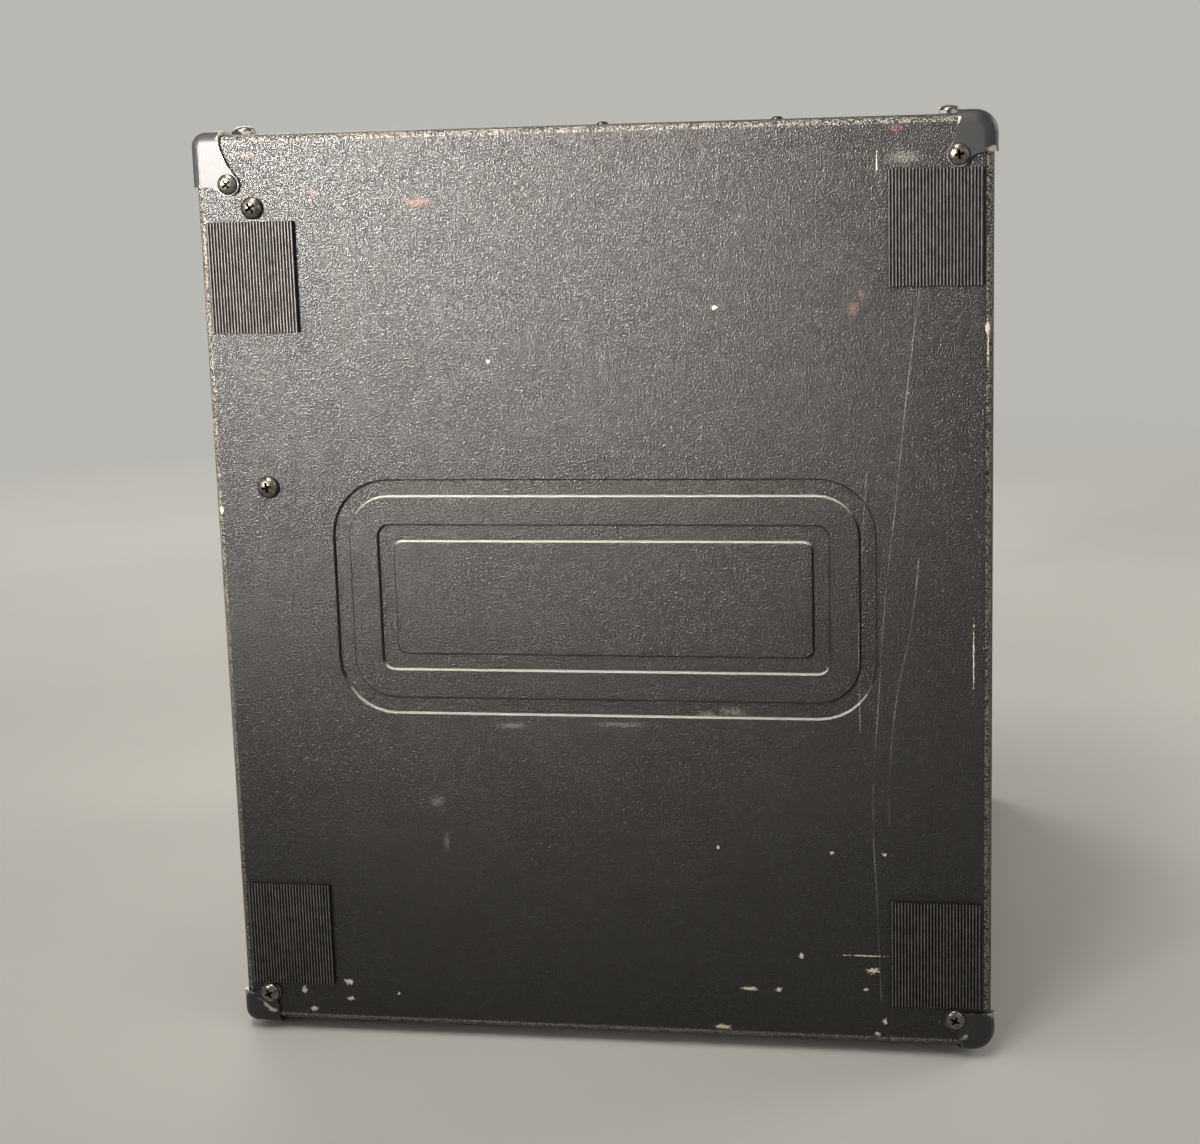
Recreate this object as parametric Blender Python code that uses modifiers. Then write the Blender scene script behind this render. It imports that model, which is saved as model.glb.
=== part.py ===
"""Bass combo amplifier: a 1 x 12 inch cabinet with a chassis-mounted amplifier and a recessed handle.

Metres, +Z up, front towards -Y, +X to the right as seen from the front. The origin is at the centre of
the footprint, on the floor.
"""

import math

import bmesh
import bpy
from mathutils import Matrix, Vector

MM = 0.001
TURN = 24  # facets of a turned piece
BIG_TURN = 28  # facets of the largest turned pieces
GAP = 0.3 * MM  # clearance between two pieces that touch or fit

# Cabinet
CABINET_WIDTH = 400 * MM
CABINET_DEPTH = 350 * MM
CABINET_HEIGHT = 414 * MM
BOARD = 15 * MM
FRONT_EDGE_RADIUS = 8 * MM
REAR_EDGE_RADIUS = 4.5 * MM
SIDE_EDGE_RADIUS = REAR_EDGE_RADIUS - 0.5 * MM  # it rounds off the front and rear radii, so it is smaller
FOOT_HEIGHT = 5 * MM

# Routed frames on the side boards
ORNAMENT_LENGTH = 245 * MM
ORNAMENT_HEIGHT = 108 * MM
ORNAMENT_FROM_REAR = 55 * MM
ORNAMENT_FROM_TOP = 154 * MM
ORNAMENT_RADIUS = 26 * MM
GROOVE_WIDTH = 7.5 * MM
GROOVE_DEPTH = 1.5 * MM
GROOVE_SPACING = 13 * MM

# Corner protectors: screw position from the front or rear edge and from the top or bottom edge,
# then the leg lengths along the horizontal edge and along the upright edge
PROTECTOR_THICKNESS = 1.4 * MM
PROTECTOR_RETURN = 8 * MM
PROTECTOR_LOBE = 5 * MM
PROTECTOR_SIDES = {
    ("rear", "top"): (15.5 * MM, 21.5 * MM, 12 * MM, 22.5 * MM),
    ("front", "top"): (14.6 * MM, 16.8 * MM, 15 * MM, 16 * MM),
    ("rear", "bottom"): (12.4 * MM, 14.2 * MM, 16.4 * MM, 13.8 * MM),
    ("front", "bottom"): (15.9 * MM, 13.9 * MM, 13 * MM, 17 * MM),
}
PROTECTOR_SCREW_FROM_SIDE = 15 * MM
PROTECTOR_SCREW_FROM_END = 19 * MM
PROTECTOR_LEG = 16 * MM
SCREW_HEAD_RADIUS = 4.5 * MM
SCREW_HEAD_HEIGHT = 2.2 * MM

# Ribbed pads on the left side, and feet
PAD_LENGTH = 40 * MM
PAD_HEIGHT = 49 * MM
PAD_THICKNESS = 2 * MM
PAD_FROM_END = 4.5 * MM
PAD_DROPS = {
    ("rear", "top"): 38 * MM,
    ("front", "top"): PROTECTOR_SIDES["front", "top"][1] + PROTECTOR_LOBE + GAP,
}
PAD_RISE = PROTECTOR_SIDES["rear", "bottom"][1] + PROTECTOR_LOBE + GAP
PAD_RIBS = 28
PAD_RIB_HEIGHT = 0.6 * MM
FOOT_INSET = 30 * MM

# Front: grille and baffle
GRILLE_RECESS = 2 * MM
GRILLE_SHEET = 1.5 * MM
BAFFLE_RECESS = 20 * MM
BAFFLE_THICKNESS = 18 * MM

# Loudspeaker, measured backwards from the front of its flange
WOOFER_RISE = 200 * MM
WOOFER_FLANGE = 5 * MM
WOOFER_FLANGE_WIDTH = 15 * MM
BASKET_RADIUS = 139.5 * MM
BASKET_SHEET = 2.5 * MM
BASKET_SHOULDER = 22 * MM
BASKET_LEDGE = 72 * MM
BASKET_WINDOW = 66 * MM
BASKET_WINDOW_MARGIN = 4 * MM
BASKET_CLEARANCE = 2 * MM  # between the basket and its hole in the baffle
LEDGE_WIDTH = 7.5 * MM
POT_RADIUS = 78.5 * MM
POT_DEPTH = 21 * MM
POT_CLEARANCE = 2 * MM  # between the pot's hole and the ring gap under it
MAGNET_RADIUS = 72 * MM
MAGNET_DEPTH = 36 * MM
RING_GAP_DEPTH = 26 * MM
POLE_RADIUS = 30 * MM
COIL_CLEARANCE = 1.2 * MM
COIL_WALL = 1.6 * MM
COIL_REACH = 14 * MM
SURROUND_WIDTH = 12.5 * MM
SURROUND_THICKNESS = 1.2 * MM
RUNNING_GAP = 0.5 * MM  # between the cone and the lips that it slides past
LIP_HEIGHT = 3 * MM
CONE_TO_LEDGE = 14 * MM
CONE_THICKNESS = 1.4 * MM
CONE_RIM = 4 * MM
DUST_CAP_RADIUS = 46 * MM
DUST_CAP_RISE = 14 * MM
SPIDER_WAVES = 2
SPIDER_WAVE_HEIGHT = 1.5 * MM
SPIDER_THICKNESS = 1 * MM
TERMINAL_WIDTH = 24 * MM
TERMINAL_HEIGHT = 20 * MM
TERMINAL_LENGTH = 12 * MM
TERMINAL_DEPTH = 44 * MM
TERMINAL_SUNK = 8 * MM
LEAD_RADIUS = 2.2 * MM
LEAD_STRAIGHT = 12 * MM
LEAD_RISE = 18 * MM

# Rear: chassis, back board and ports
REAR_RECESS = 12 * MM
CHASSIS_DROP = 190 * MM
CHASSIS_SHEET = 1.5 * MM
CHASSIS_FLANGE = 30 * MM
CHASSIS_TRAY = 128 * MM
CHASSIS_LIP = 15 * MM
CHASSIS_SCREW_FROM_REAR = 25.7 * MM
CHASSIS_SCREW_DROPS = {"upper": 32 * MM, "lower": 157 * MM}
CHASSIS_SCREW_HEAD = 5 * MM
CHASSIS_SCREW_SHANK = 2.4 * MM
BACK_BOARD = 12 * MM
PORT_FROM_SIDE = 75 * MM
PORT_RISE = 72 * MM
PORT_RADIUS = 34 * MM
PORT_WALL = 2.5 * MM
PORT_FLARE = 8 * MM
PORT_RIM = 3 * MM
PORT_LENGTH = 90 * MM

# Controls
CONTROL_FROM_SIDE = 50 * MM
CONTROL_WIDTH = 92 * MM
CONTROL_FROM_REAR = 36 * MM
CONTROL_CORNER = 8 * MM
PANEL_SHEET = 1.5 * MM
PANEL_OVERLAP = 15 * MM
KNOB_RADIUS = 10 * MM
KNOB_HEIGHT = 13 * MM
KNOB_SKIRT = 2.5 * MM
KNOB_LIFT = 0.5 * MM
KNOB_CHAMFER = 1.2 * MM
KNOB_FACETS = 12
KNOB_ROW_FROM_FRONT = 36 * MM
KNOB_NAMES = ("gain", "bass", "low_mid", "high_mid", "treble", "drive", "master")
POINTER_WIDTH = 1.2 * MM
POINTER_DEPTH = 0.6 * MM
POINTER_START = 2 * MM
SHAFT_RADIUS = 3 * MM
SHAFT_CLEARANCE = 0.5 * MM
SHAFT_LENGTH = 4 * MM
BUTTON_ROW_FROM_FRONT = 68 * MM
BUTTON_SIZE = 8 * MM
BUTTON_TRAVEL = 2 * MM
BUTTON_PROUD = 4 * MM
BUTTON_COLLAR = 1 * MM
BUTTON_PLACES = {"pad": -3, "mute": -2, "pre_post": 2, "ground_lift": 3}
JACK_FROM_END = 18 * MM
JACK_TO_KNOB = 36 * MM
JACK_BORE = 3.25 * MM
JACK_BUSH = 4.7 * MM
JACK_NUT = 6.5 * MM
JACK_NUT_HEIGHT = 2.8 * MM
JACK_BODY = 9 * MM
JACK_DEPTH = 26 * MM
JACK_FLOOR = 2 * MM

# Circuit boards
PREAMP_DROP = 14 * MM
PREAMP_MARGIN = 12 * MM  # beyond the rows of knobs and buttons
PREAMP_TO_JACK = 2 * MM
POTENTIOMETER = (10 * MM, 12 * MM)
SWITCH_SIZE = 8 * MM
PILLAR_RADIUS = 3 * MM
PILLAR_INSET = 5 * MM
BOARD_SHEET = 1.6 * MM
BOARD_STANDOFF = 5 * MM
POWER_BOARD_WIDTH = 180 * MM
POWER_BOARD_FROM_SIDE = 15 * MM
POWER_BOARD_FROM_LIP = 8 * MM
POWER_BOARD_FROM_PLATE = 18 * MM
# Each block's place from the board's left front corner, then its length, depth and height
POWER_BLOCKS = (
    (10 * MM, 17 * MM, 40 * MM, 40 * MM, 28 * MM),
    (65 * MM, 52 * MM, 30 * MM, 25 * MM, 22 * MM),
    (115 * MM, 42 * MM, 20 * MM, 20 * MM, 18 * MM),
)
PLUG_BLOCK = (140 * MM, 2 * MM, 20 * MM, 10 * MM, 10 * MM)
CAPACITOR_PLACES = ((70 * MM, 12 * MM), (94 * MM, 12 * MM), (70 * MM, 36 * MM), (94 * MM, 36 * MM))
CAPACITOR_RADIUS = 9 * MM
CAPACITOR_HEIGHT = 25 * MM
HEATSINK_GAP = 15 * MM
HEATSINK_WIDTH = 80 * MM
HEATSINK_HEIGHT = 45 * MM
HEATSINK_FOOT = 6 * MM
HEATSINK_FIN = 2 * MM
HEATSINK_FINS = 9
HEATSINK_FROM_LIP = 15 * MM
HEATSINK_FROM_PLATE = 35 * MM

# Rear connections: distance from the left or right inner side, then drop below the cabinet's top
SPEAKER_SOCKET_FROM_LEFT = 125 * MM
SPEAKER_SOCKET_DROP = 140 * MM
DI_FROM_LEFT = 70 * MM
DI_DROP = 115 * MM
DI_RADIUS = 10.5 * MM
DI_RIM = 3 * MM
DI_PROUD = 2.5 * MM
DI_RECESS = 9 * MM
DI_DEPTH = 15 * MM
DI_FLOOR = 3 * MM
DI_PIN_CIRCLE = 3.7 * MM
DI_PIN_RADIUS = 1.2 * MM
INLET_FROM_RIGHT = 45 * MM
INLET_DROP = 115 * MM
INLET_WIDTH = 50 * MM
INLET_HEIGHT = 64 * MM
INLET_FLANGE = 3 * MM
INLET_RIM = 2 * MM
INLET_BODY_DEPTH = 27 * MM
INLET_RECESS = (26 * MM, 19 * MM, 15 * MM)
INLET_RECESS_DROP = 13 * MM
INLET_PIN = (2 * MM, 4 * MM)
INLET_PINS = ((-7 * MM, 0), (7 * MM, 0), (0, 4 * MM))
PIN_SETBACK = 2 * MM
ROCKER_WIDTH = 20 * MM
ROCKER_HEIGHT = 13 * MM
ROCKER_RISE = 17 * MM
ROCKER_SETBACK = 2 * MM
ROCKER_WINDOW_DEPTH = 12 * MM
ROCKER_TILT = 10
FAN_FROM_RIGHT = 135 * MM
FAN_DROP = 112 * MM
FAN_SIZE = 60 * MM
FAN_DEPTH = 18 * MM
FAN_BORE = 28.5 * MM
FAN_BLADE_CLEARANCE = 1.2 * MM
FAN_BLADE = (13 * MM, 1.2 * MM)
FAN_BLADE_TWIST = 50
FAN_BLADES = 7
FAN_HUB = 12.5 * MM
FAN_STRUT = 3 * MM
FAN_STRUT_DEPTH = 2 * MM
FAN_STRUT_SETBACK = 0.5 * MM
FAN_SLOTS = 7
FAN_SLOT_PITCH = 8 * MM
FAN_SLOT_WIDTH = 5 * MM

# Handle
DISH_LENGTH = 140 * MM
DISH_WIDTH = 72 * MM
DISH_DEPTH = 28 * MM
DISH_WALL = 2 * MM
DISH_FLANGE = 10 * MM
DISH_FLANGE_SHEET = 1.5 * MM
DISH_CORNER = 8 * MM
HANDLE_TO_PANEL = 24 * MM
PIVOT_FROM_WALL = 12 * MM
PIVOT_DROP = 8 * MM
PIN_RADIUS = 2.5 * MM
GRIP_RADIUS = 6 * MM
GRIP_CLEARANCE = 10 * MM  # between the folded grip and the dish's front wall
GRIP_LEG = 8 * MM
GRIP_END_GAP = 1 * MM

# Levels and planes that follow
BOTTOM = FOOT_HEIGHT + GAP
TOP = BOTTOM + CABINET_HEIGHT
LEFT = -CABINET_WIDTH / 2
RIGHT = CABINET_WIDTH / 2
FRONT = -CABINET_DEPTH / 2
REAR = CABINET_DEPTH / 2
INNER_HALF = RIGHT - BOARD
INNER_BOTTOM = BOTTOM + BOARD
INNER_TOP = TOP - BOARD
BAFFLE_Y = FRONT + BAFFLE_RECESS
WOOFER_Y = BAFFLE_Y - GAP - WOOFER_FLANGE
WOOFER_Z = BOTTOM + WOOFER_RISE
CHASSIS_Y = REAR - REAR_RECESS
CHASSIS_Z = TOP - CHASSIS_DROP
CHASSIS_HALF = INNER_HALF - GAP
TRAY_TOP = CHASSIS_Z + CHASSIS_SHEET
TRAY_FRONT = CHASSIS_Y - CHASSIS_TRAY
WOOFER_FLANGE_RADIUS = BASKET_RADIUS + WOOFER_FLANGE_WIDTH
LEDGE_RADIUS = POT_RADIUS + LEDGE_WIDTH
BASKET_DEPTH = BASKET_LEDGE + POT_DEPTH
COIL_BORE = POLE_RADIUS + COIL_CLEARANCE
COIL_RADIUS = COIL_BORE + COIL_WALL
RING_GAP_RADIUS = COIL_RADIUS + COIL_CLEARANCE
CONE_RADIUS = BASKET_RADIUS - BASKET_SHEET - SURROUND_WIDTH
CONE_DEPTH = BASKET_LEDGE - CONE_TO_LEDGE
CONTROL_LENGTH = CABINET_WIDTH - 2 * CONTROL_FROM_SIDE
CONTROL_REAR = REAR - CONTROL_FROM_REAR
CONTROL_FRONT = CONTROL_REAR - CONTROL_WIDTH
PANEL_TOP = INNER_TOP - GAP
PANEL_UNDER = PANEL_TOP - PANEL_SHEET
KNOB_Y = CONTROL_FRONT + KNOB_ROW_FROM_FRONT
BUTTON_Y = CONTROL_FRONT + BUTTON_ROW_FROM_FRONT
JACK_OFFSET = CONTROL_LENGTH / 2 - JACK_FROM_END
KNOB_PITCH = 2 * (JACK_OFFSET - JACK_TO_KNOB) / (len(KNOB_NAMES) - 1)
SHAFT_END = PANEL_SHEET + SHAFT_LENGTH
PREAMP_TOP = PANEL_UNDER - PREAMP_DROP
PREAMP_UNDER = PREAMP_TOP - BOARD_SHEET
POWER_BOARD_LEFT = -INNER_HALF + POWER_BOARD_FROM_SIDE
POWER_BOARD_RIGHT = POWER_BOARD_LEFT + POWER_BOARD_WIDTH
POWER_BOARD_FRONT = TRAY_FRONT + POWER_BOARD_FROM_LIP
POWER_BOARD_UNDER = TRAY_TOP + GAP + BOARD_STANDOFF
POWER_BOARD_TOP = POWER_BOARD_UNDER + BOARD_SHEET
HEATSINK_START = POWER_BOARD_RIGHT + HEATSINK_GAP
SPEAKER_SOCKET = (-INNER_HALF + SPEAKER_SOCKET_FROM_LEFT, SPEAKER_SOCKET_DROP)
DI_SOCKET = (-INNER_HALF + DI_FROM_LEFT, DI_DROP)
INLET_PLACE = (INNER_HALF - INLET_FROM_RIGHT, INLET_DROP)
FAN_PLACE = (INNER_HALF - FAN_FROM_RIGHT, FAN_DROP)
HANDLE_Y = CONTROL_FRONT - PANEL_OVERLAP - HANDLE_TO_PANEL - DISH_WALL - DISH_WIDTH / 2
PIVOT_Y = HANDLE_Y + DISH_WIDTH / 2 - PIVOT_FROM_WALL
PIVOT_Z = TOP - PIVOT_DROP
GRIP_REACH = DISH_WIDTH - PIVOT_FROM_WALL - GRIP_RADIUS - GRIP_CLEARANCE
ENDS = {"front": -1, "rear": 1}
LEVELS = {"bottom": -1, "top": 1}
SIDES = {"left": -1, "right": 1}

FINISHES = {
    "coated_wood": ((0.022, 0.021, 0.020), 0.45, 0.0),
    "black_steel": ((0.018, 0.018, 0.019), 0.32, 0.8),
    "screw_steel": ((0.12, 0.12, 0.12), 0.25, 1.0),
    "zinc_steel": ((0.55, 0.55, 0.53), 0.35, 1.0),
    "black_rubber": ((0.015, 0.015, 0.015), 0.7, 0.0),
    "black_plastic": ((0.02, 0.02, 0.02), 0.4, 0.0),
    "grey_plastic": ((0.35, 0.35, 0.34), 0.45, 0.0),
    "cone_paper": ((0.02, 0.02, 0.02), 0.8, 0.0),
    "spider_cloth": ((0.5, 0.33, 0.12), 0.9, 0.0),
    "magnet": ((0.05, 0.05, 0.05), 0.5, 0.3),
    "copper": ((0.6, 0.25, 0.1), 0.35, 1.0),
    "circuit_board": ((0.02, 0.16, 0.06), 0.5, 0.0),
    "aluminium": ((0.7, 0.7, 0.7), 0.35, 1.0),
}

# World axes of a flat outline's own across, up and thickness directions
PLANES = {
    "XY": (Vector((1, 0, 0)), Vector((0, 1, 0)), Vector((0, 0, 1))),
    "YZ": (Vector((0, 1, 0)), Vector((0, 0, 1)), Vector((1, 0, 0))),
    "XZ": (Vector((1, 0, 0)), Vector((0, 0, 1)), Vector((0, -1, 0))),
}
BACKWARDS = Vector((0, 1, 0))
FORWARDS = Vector((0, -1, 0))
UPWARDS = Vector((0, 0, 1))


def clear_scene():
    """Remove the start-up objects and make one collection for the parts and one for helpers."""
    for obj in list(bpy.data.objects):
        bpy.data.objects.remove(obj)
    for name in ("bass_combo_amplifier", "cutters"):
        bpy.context.scene.collection.children.link(bpy.data.collections.new(name))


def finish(name):
    """The material of one finish, made the first time it is asked for."""
    found = bpy.data.materials.get(name)
    if found:
        return found
    colour, roughness, metallic = FINISHES[name]
    made = bpy.data.materials.new(name)
    made.use_nodes = True
    shader = made.node_tree.nodes["Principled BSDF"]
    shader.inputs["Base Color"].default_value = (*colour, 1.0)
    shader.inputs["Roughness"].default_value = roughness
    shader.inputs["Metallic"].default_value = metallic
    made.diffuse_color = (*colour, 1.0)
    return made


def add_object(name, mesh, look, origin=(0, 0, 0)):
    """Put a mesh in the scene as a part, or as a hidden helper where it has no look."""
    obj = bpy.data.objects.new(name, mesh)
    obj.location = origin
    if look:
        mesh.materials.append(finish(look))
        bpy.data.collections["bass_combo_amplifier"].objects.link(obj)
    else:
        obj.hide_render = True
        obj.display_type = "WIRE"
        bpy.data.collections["cutters"].objects.link(obj)
    return obj


def mesh_from(name, bm):
    mesh = bpy.data.meshes.new(name)
    bm.to_mesh(mesh)
    bm.free()
    return mesh


def boxes(name, corners, look=None, origin=(0, 0, 0)):
    """Boxes, each from its lowest to its highest corner, measured from the origin."""
    bm = bmesh.new()
    for low, high in corners:
        size = Vector(high) - Vector(low)
        middle = (Vector(high) + Vector(low)) / 2
        bmesh.ops.create_cube(bm, size=1, matrix=Matrix.LocRotScale(middle, None, size))
    return add_object(name, mesh_from(name, bm), look, origin)


def box(name, low, high, look=None, origin=(0, 0, 0)):
    return boxes(name, [(low, high)], look, origin)


def rods(name, lines, radius, look=None, end_radius=None, sides=TURN):
    """Round rods, or cones with an end_radius, each from a start point to an end point."""
    bm = bmesh.new()
    for start, end in lines:
        along = Vector(end) - Vector(start)
        turn = UPWARDS.rotation_difference(along)
        middle = (Vector(end) + Vector(start)) / 2
        bmesh.ops.create_cone(
            bm,
            cap_ends=True,
            segments=sides,
            radius1=radius,
            radius2=radius if end_radius is None else end_radius,
            depth=along.length,
            matrix=Matrix.LocRotScale(middle, turn, None),
        )
    return add_object(name, mesh_from(name, bm), look)


def turned(name, profile, origin, look=None, facing=UPWARDS, steps=TURN):
    """Turn a profile of (radius, height) points about the facing direction through the origin.

    The profile runs down its outer side. It ends on the axis, or closes on itself.
    """
    bm = bmesh.new()
    points = [bm.verts.new((radius, 0, height)) for radius, height in profile]
    for first, second in zip(points, points[1:]):
        bm.edges.new((first, second))
    if profile[0][0] > 0 or profile[-1][0] > 0:
        bm.edges.new((points[-1], points[0]))
    obj = add_object(name, mesh_from(name, bm), look, origin)
    obj.rotation_euler = facing.to_track_quat("Z", "Y").to_euler()
    screw = obj.modifiers.new("turn", "SCREW")
    screw.steps = steps
    screw.render_steps = steps
    screw.use_merge_vertices = True
    screw.merge_threshold = 1e-5
    return obj


def arc(centre, radius, start, end, segments=5):
    """Points along an arc, from a start to an end angle in degrees."""
    points = []
    for step in range(segments + 1):
        angle = math.radians(start + (end - start) * step / segments)
        points.append((centre[0] + radius * math.cos(angle), centre[1] + radius * math.sin(angle)))
    return points


def rounded_rectangle(low, high, radii, segments=5):
    """Outline whose corner radii are given in the order low-low, high-low, high-high, low-high."""
    corners = (
        (low[0] + radii[0], low[1] + radii[0], 180),
        (high[0] - radii[1], low[1] + radii[1], 270),
        (high[0] - radii[2], high[1] - radii[2], 0),
        (low[0] + radii[3], high[1] - radii[3], 90),
    )
    outline = []
    for radius, (across, up, start) in zip(radii, corners):
        outline += arc((across, up), radius, start, start + 90, segments)
    return outline


def prism(name, outline, plane, low, high, look=None, origin=(0, 0, 0)):
    """Extrude an outline along the thickness direction of its plane, from low to high."""
    across, up, through = PLANES[plane]
    bm = bmesh.new()
    points = [bm.verts.new(across * a + up * b + through * low) for a, b in outline]
    face = bm.faces.new(points)
    grown = bmesh.ops.extrude_face_region(bm, geom=[face])
    moved = [item for item in grown["geom"] if isinstance(item, bmesh.types.BMVert)]
    bmesh.ops.translate(bm, verts=moved, vec=through * (high - low))
    bmesh.ops.recalc_face_normals(bm, faces=bm.faces)
    return add_object(name, mesh_from(name, bm), look, origin)


def combine(target, operation, *others):
    """Apply Booleans to a target: DIFFERENCE cuts, UNION joins and INTERSECT keeps what both share."""
    for other in others:
        modifier = target.modifiers.new(other.name, "BOOLEAN")
        modifier.operation = operation
        modifier.solver = "EXACT"
        modifier.object = other
    return target


def cabinet_block(name, grow=0.0, look=None):
    """The cabinet's outside as a solid, grown by a distance on every side."""
    front = FRONT_EDGE_RADIUS + grow
    rear = REAR_EDGE_RADIUS + grow
    outline = rounded_rectangle(
        (FRONT - grow, BOTTOM - grow), (REAR + grow, TOP + grow), (front, rear, rear, front), 3
    )
    block = prism(name, outline, "YZ", LEFT - grow, RIGHT + grow, look)
    bevel = block.modifiers.new("side_edges", "BEVEL")
    bevel.width = SIDE_EDGE_RADIUS + grow
    bevel.segments = 3
    bevel.limit_method = "ANGLE"
    bevel.angle_limit = math.radians(60)
    return block


def ornament_grooves(side):
    """Cutters for two routed frames, one inside the other, on one side board."""
    face = SIDES[side] * RIGHT
    inward = -SIDES[side] * GROOVE_DEPTH
    outward = SIDES[side] * BOARD
    low, high = sorted((face + inward, face + outward))
    frames = []
    for number in range(2):
        inset = number * (GROOVE_WIDTH + GROOVE_SPACING)
        for part, edge in (("outer", inset), ("inner", inset + GROOVE_WIDTH)):
            radius = max(ORNAMENT_RADIUS - edge, 4 * MM)
            outline = rounded_rectangle(
                (REAR - ORNAMENT_FROM_REAR - ORNAMENT_LENGTH + edge,
                 TOP - ORNAMENT_FROM_TOP - ORNAMENT_HEIGHT + edge),
                (REAR - ORNAMENT_FROM_REAR - edge, TOP - ORNAMENT_FROM_TOP - edge),
                (radius,) * 4,
            )
            spread = MM if part == "inner" else 0.0
            name = f"groove_{part}_{side}_{number}"
            frames.append(prism(name, outline, "YZ", low - spread, high + spread))
    combine(frames[0], "DIFFERENCE", frames[1])
    combine(frames[2], "DIFFERENCE", frames[3])
    return frames[0], frames[2]


def chassis_screw_holes(name, radius):
    """Cutter through both sides of the cabinet at the four chassis screws."""
    lines = []
    for drop in CHASSIS_SCREW_DROPS.values():
        for side in SIDES.values():
            start = (side * (INNER_HALF - BOARD), REAR - CHASSIS_SCREW_FROM_REAR, TOP - drop)
            end = (side * (RIGHT + BOARD), REAR - CHASSIS_SCREW_FROM_REAR, TOP - drop)
            lines.append((start, end))
    return rods(name, lines, radius, sides=16)


def build_cabinet():
    shell = cabinet_block("cabinet_shell", look="coated_wood")
    inside = box(
        "inside_of_cabinet",
        (-INNER_HALF, FRONT - BOARD, INNER_BOTTOM),
        (INNER_HALF, REAR + BOARD, INNER_TOP),
    )
    controls = prism(
        "control_opening",
        rounded_rectangle(
            (-CONTROL_LENGTH / 2, CONTROL_FRONT), (CONTROL_LENGTH / 2, CONTROL_REAR),
            (CONTROL_CORNER,) * 4,
        ),
        "XY", INNER_TOP - BOARD, TOP + BOARD,
    )
    reach_x = DISH_LENGTH / 2 + DISH_WALL + GAP
    reach_y = DISH_WIDTH / 2 + DISH_WALL + GAP
    handle = box(
        "handle_opening",
        (-reach_x, HANDLE_Y - reach_y, INNER_TOP - BOARD),
        (reach_x, HANDLE_Y + reach_y, TOP + BOARD),
    )
    holes = chassis_screw_holes("side_board_holes", CHASSIS_SCREW_SHANK + GAP)
    combine(shell, "DIFFERENCE", inside, controls, handle, holes)
    for side in SIDES:
        combine(shell, "DIFFERENCE", *ornament_grooves(side))


def build_baffle():
    baffle = box(
        "baffle_board",
        (-INNER_HALF + GAP, BAFFLE_Y, INNER_BOTTOM + GAP),
        (INNER_HALF - GAP, BAFFLE_Y + BAFFLE_THICKNESS, INNER_TOP - GAP),
        "coated_wood",
    )
    hole = rods(
        "woofer_hole",
        [((0, BAFFLE_Y - BOARD, WOOFER_Z), (0, BAFFLE_Y + BAFFLE_THICKNESS + BOARD, WOOFER_Z))],
        BASKET_RADIUS + BASKET_CLEARANCE,
        sides=48,
    )
    combine(baffle, "DIFFERENCE", hole)


def build_grille():
    """Steel tray whose rim stands on the baffle. The perforation is left to the surface."""
    front = FRONT + GRILLE_RECESS
    grille = box(
        "speaker_grille",
        (-INNER_HALF + GAP, front, INNER_BOTTOM + GAP),
        (INNER_HALF - GAP, BAFFLE_Y - GAP, INNER_TOP - GAP),
        "black_steel",
    )
    hollow = box(
        "grille_hollow",
        (-INNER_HALF + GAP + GRILLE_SHEET, front + GRILLE_SHEET, INNER_BOTTOM + GAP + GRILLE_SHEET),
        (INNER_HALF - GAP - GRILLE_SHEET, BAFFLE_Y + BOARD, INNER_TOP - GAP - GRILLE_SHEET),
    )
    combine(grille, "DIFFERENCE", hollow)


def protector_outline(place, beyond):
    """Outline of a tab with one round lobe, measured inwards from the two edges of its face."""
    across, drop, leg_across, leg_up = place
    step = PROTECTOR_LOBE / 2
    points = [(-beyond, -beyond), (leg_across, -beyond), (leg_across, step)]
    points += arc((across, drop), PROTECTOR_LOBE, -50, 140, 6)
    return points + [(step, leg_up), (-beyond, leg_up)]


def build_protector(side, end, level):
    """Two lobed tabs wrapped over a corner, thickened outwards, with a screw head on each tab."""
    name = f"corner_protector_{end}_{side}_{level}"
    sign_x, sign_y, sign_z = SIDES[side], ENDS[end], LEVELS[level]
    edge_z = TOP if level == "top" else BOTTOM
    place = PROTECTOR_SIDES[end, level]
    outline = [
        (sign_y * (REAR - along), edge_z - sign_z * down)
        for along, down in protector_outline(place, BOARD)
    ]
    low, high = sorted((sign_x * (RIGHT + BOARD), sign_x * (RIGHT - PROTECTOR_RETURN)))
    protector = prism(name, outline, "YZ", low, high, "black_steel")
    flat = (PROTECTOR_SCREW_FROM_END, PROTECTOR_SCREW_FROM_SIDE, PROTECTOR_LEG, PROTECTOR_LEG)
    outline = [
        (sign_x * (RIGHT - across), sign_y * (REAR - along))
        for along, across in protector_outline(flat, BOARD / 2)
    ]
    low, high = sorted((edge_z + sign_z * BOARD / 2, edge_z - sign_z * PROTECTOR_RETURN))
    flat_tab = prism(f"flat_tab_{name}", outline, "XY", low, high)
    combine(protector, "UNION", flat_tab)
    combine(protector, "INTERSECT", bpy.data.objects["protector_outside"])
    combine(protector, "DIFFERENCE", bpy.data.objects["protector_inside"])
    sunk = GAP + PROTECTOR_THICKNESS / 2
    proud = GAP + PROTECTOR_THICKNESS + SCREW_HEAD_HEIGHT
    screw_y = sign_y * (REAR - place[0])
    screw_z = edge_z - sign_z * place[1]
    side_line = (
        (sign_x * (RIGHT + sunk), screw_y, screw_z), (sign_x * (RIGHT + proud), screw_y, screw_z)
    )
    flat_x = sign_x * (RIGHT - PROTECTOR_SCREW_FROM_SIDE)
    flat_y = sign_y * (REAR - PROTECTOR_SCREW_FROM_END)
    flat_line = (
        (flat_x, flat_y, edge_z + sign_z * sunk), (flat_x, flat_y, edge_z + sign_z * proud)
    )
    heads = rods(
        f"screw_heads_{name}", [side_line, flat_line],
        SCREW_HEAD_RADIUS, end_radius=SCREW_HEAD_RADIUS / 2, sides=12,
    )
    combine(protector, "UNION", heads)


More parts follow.
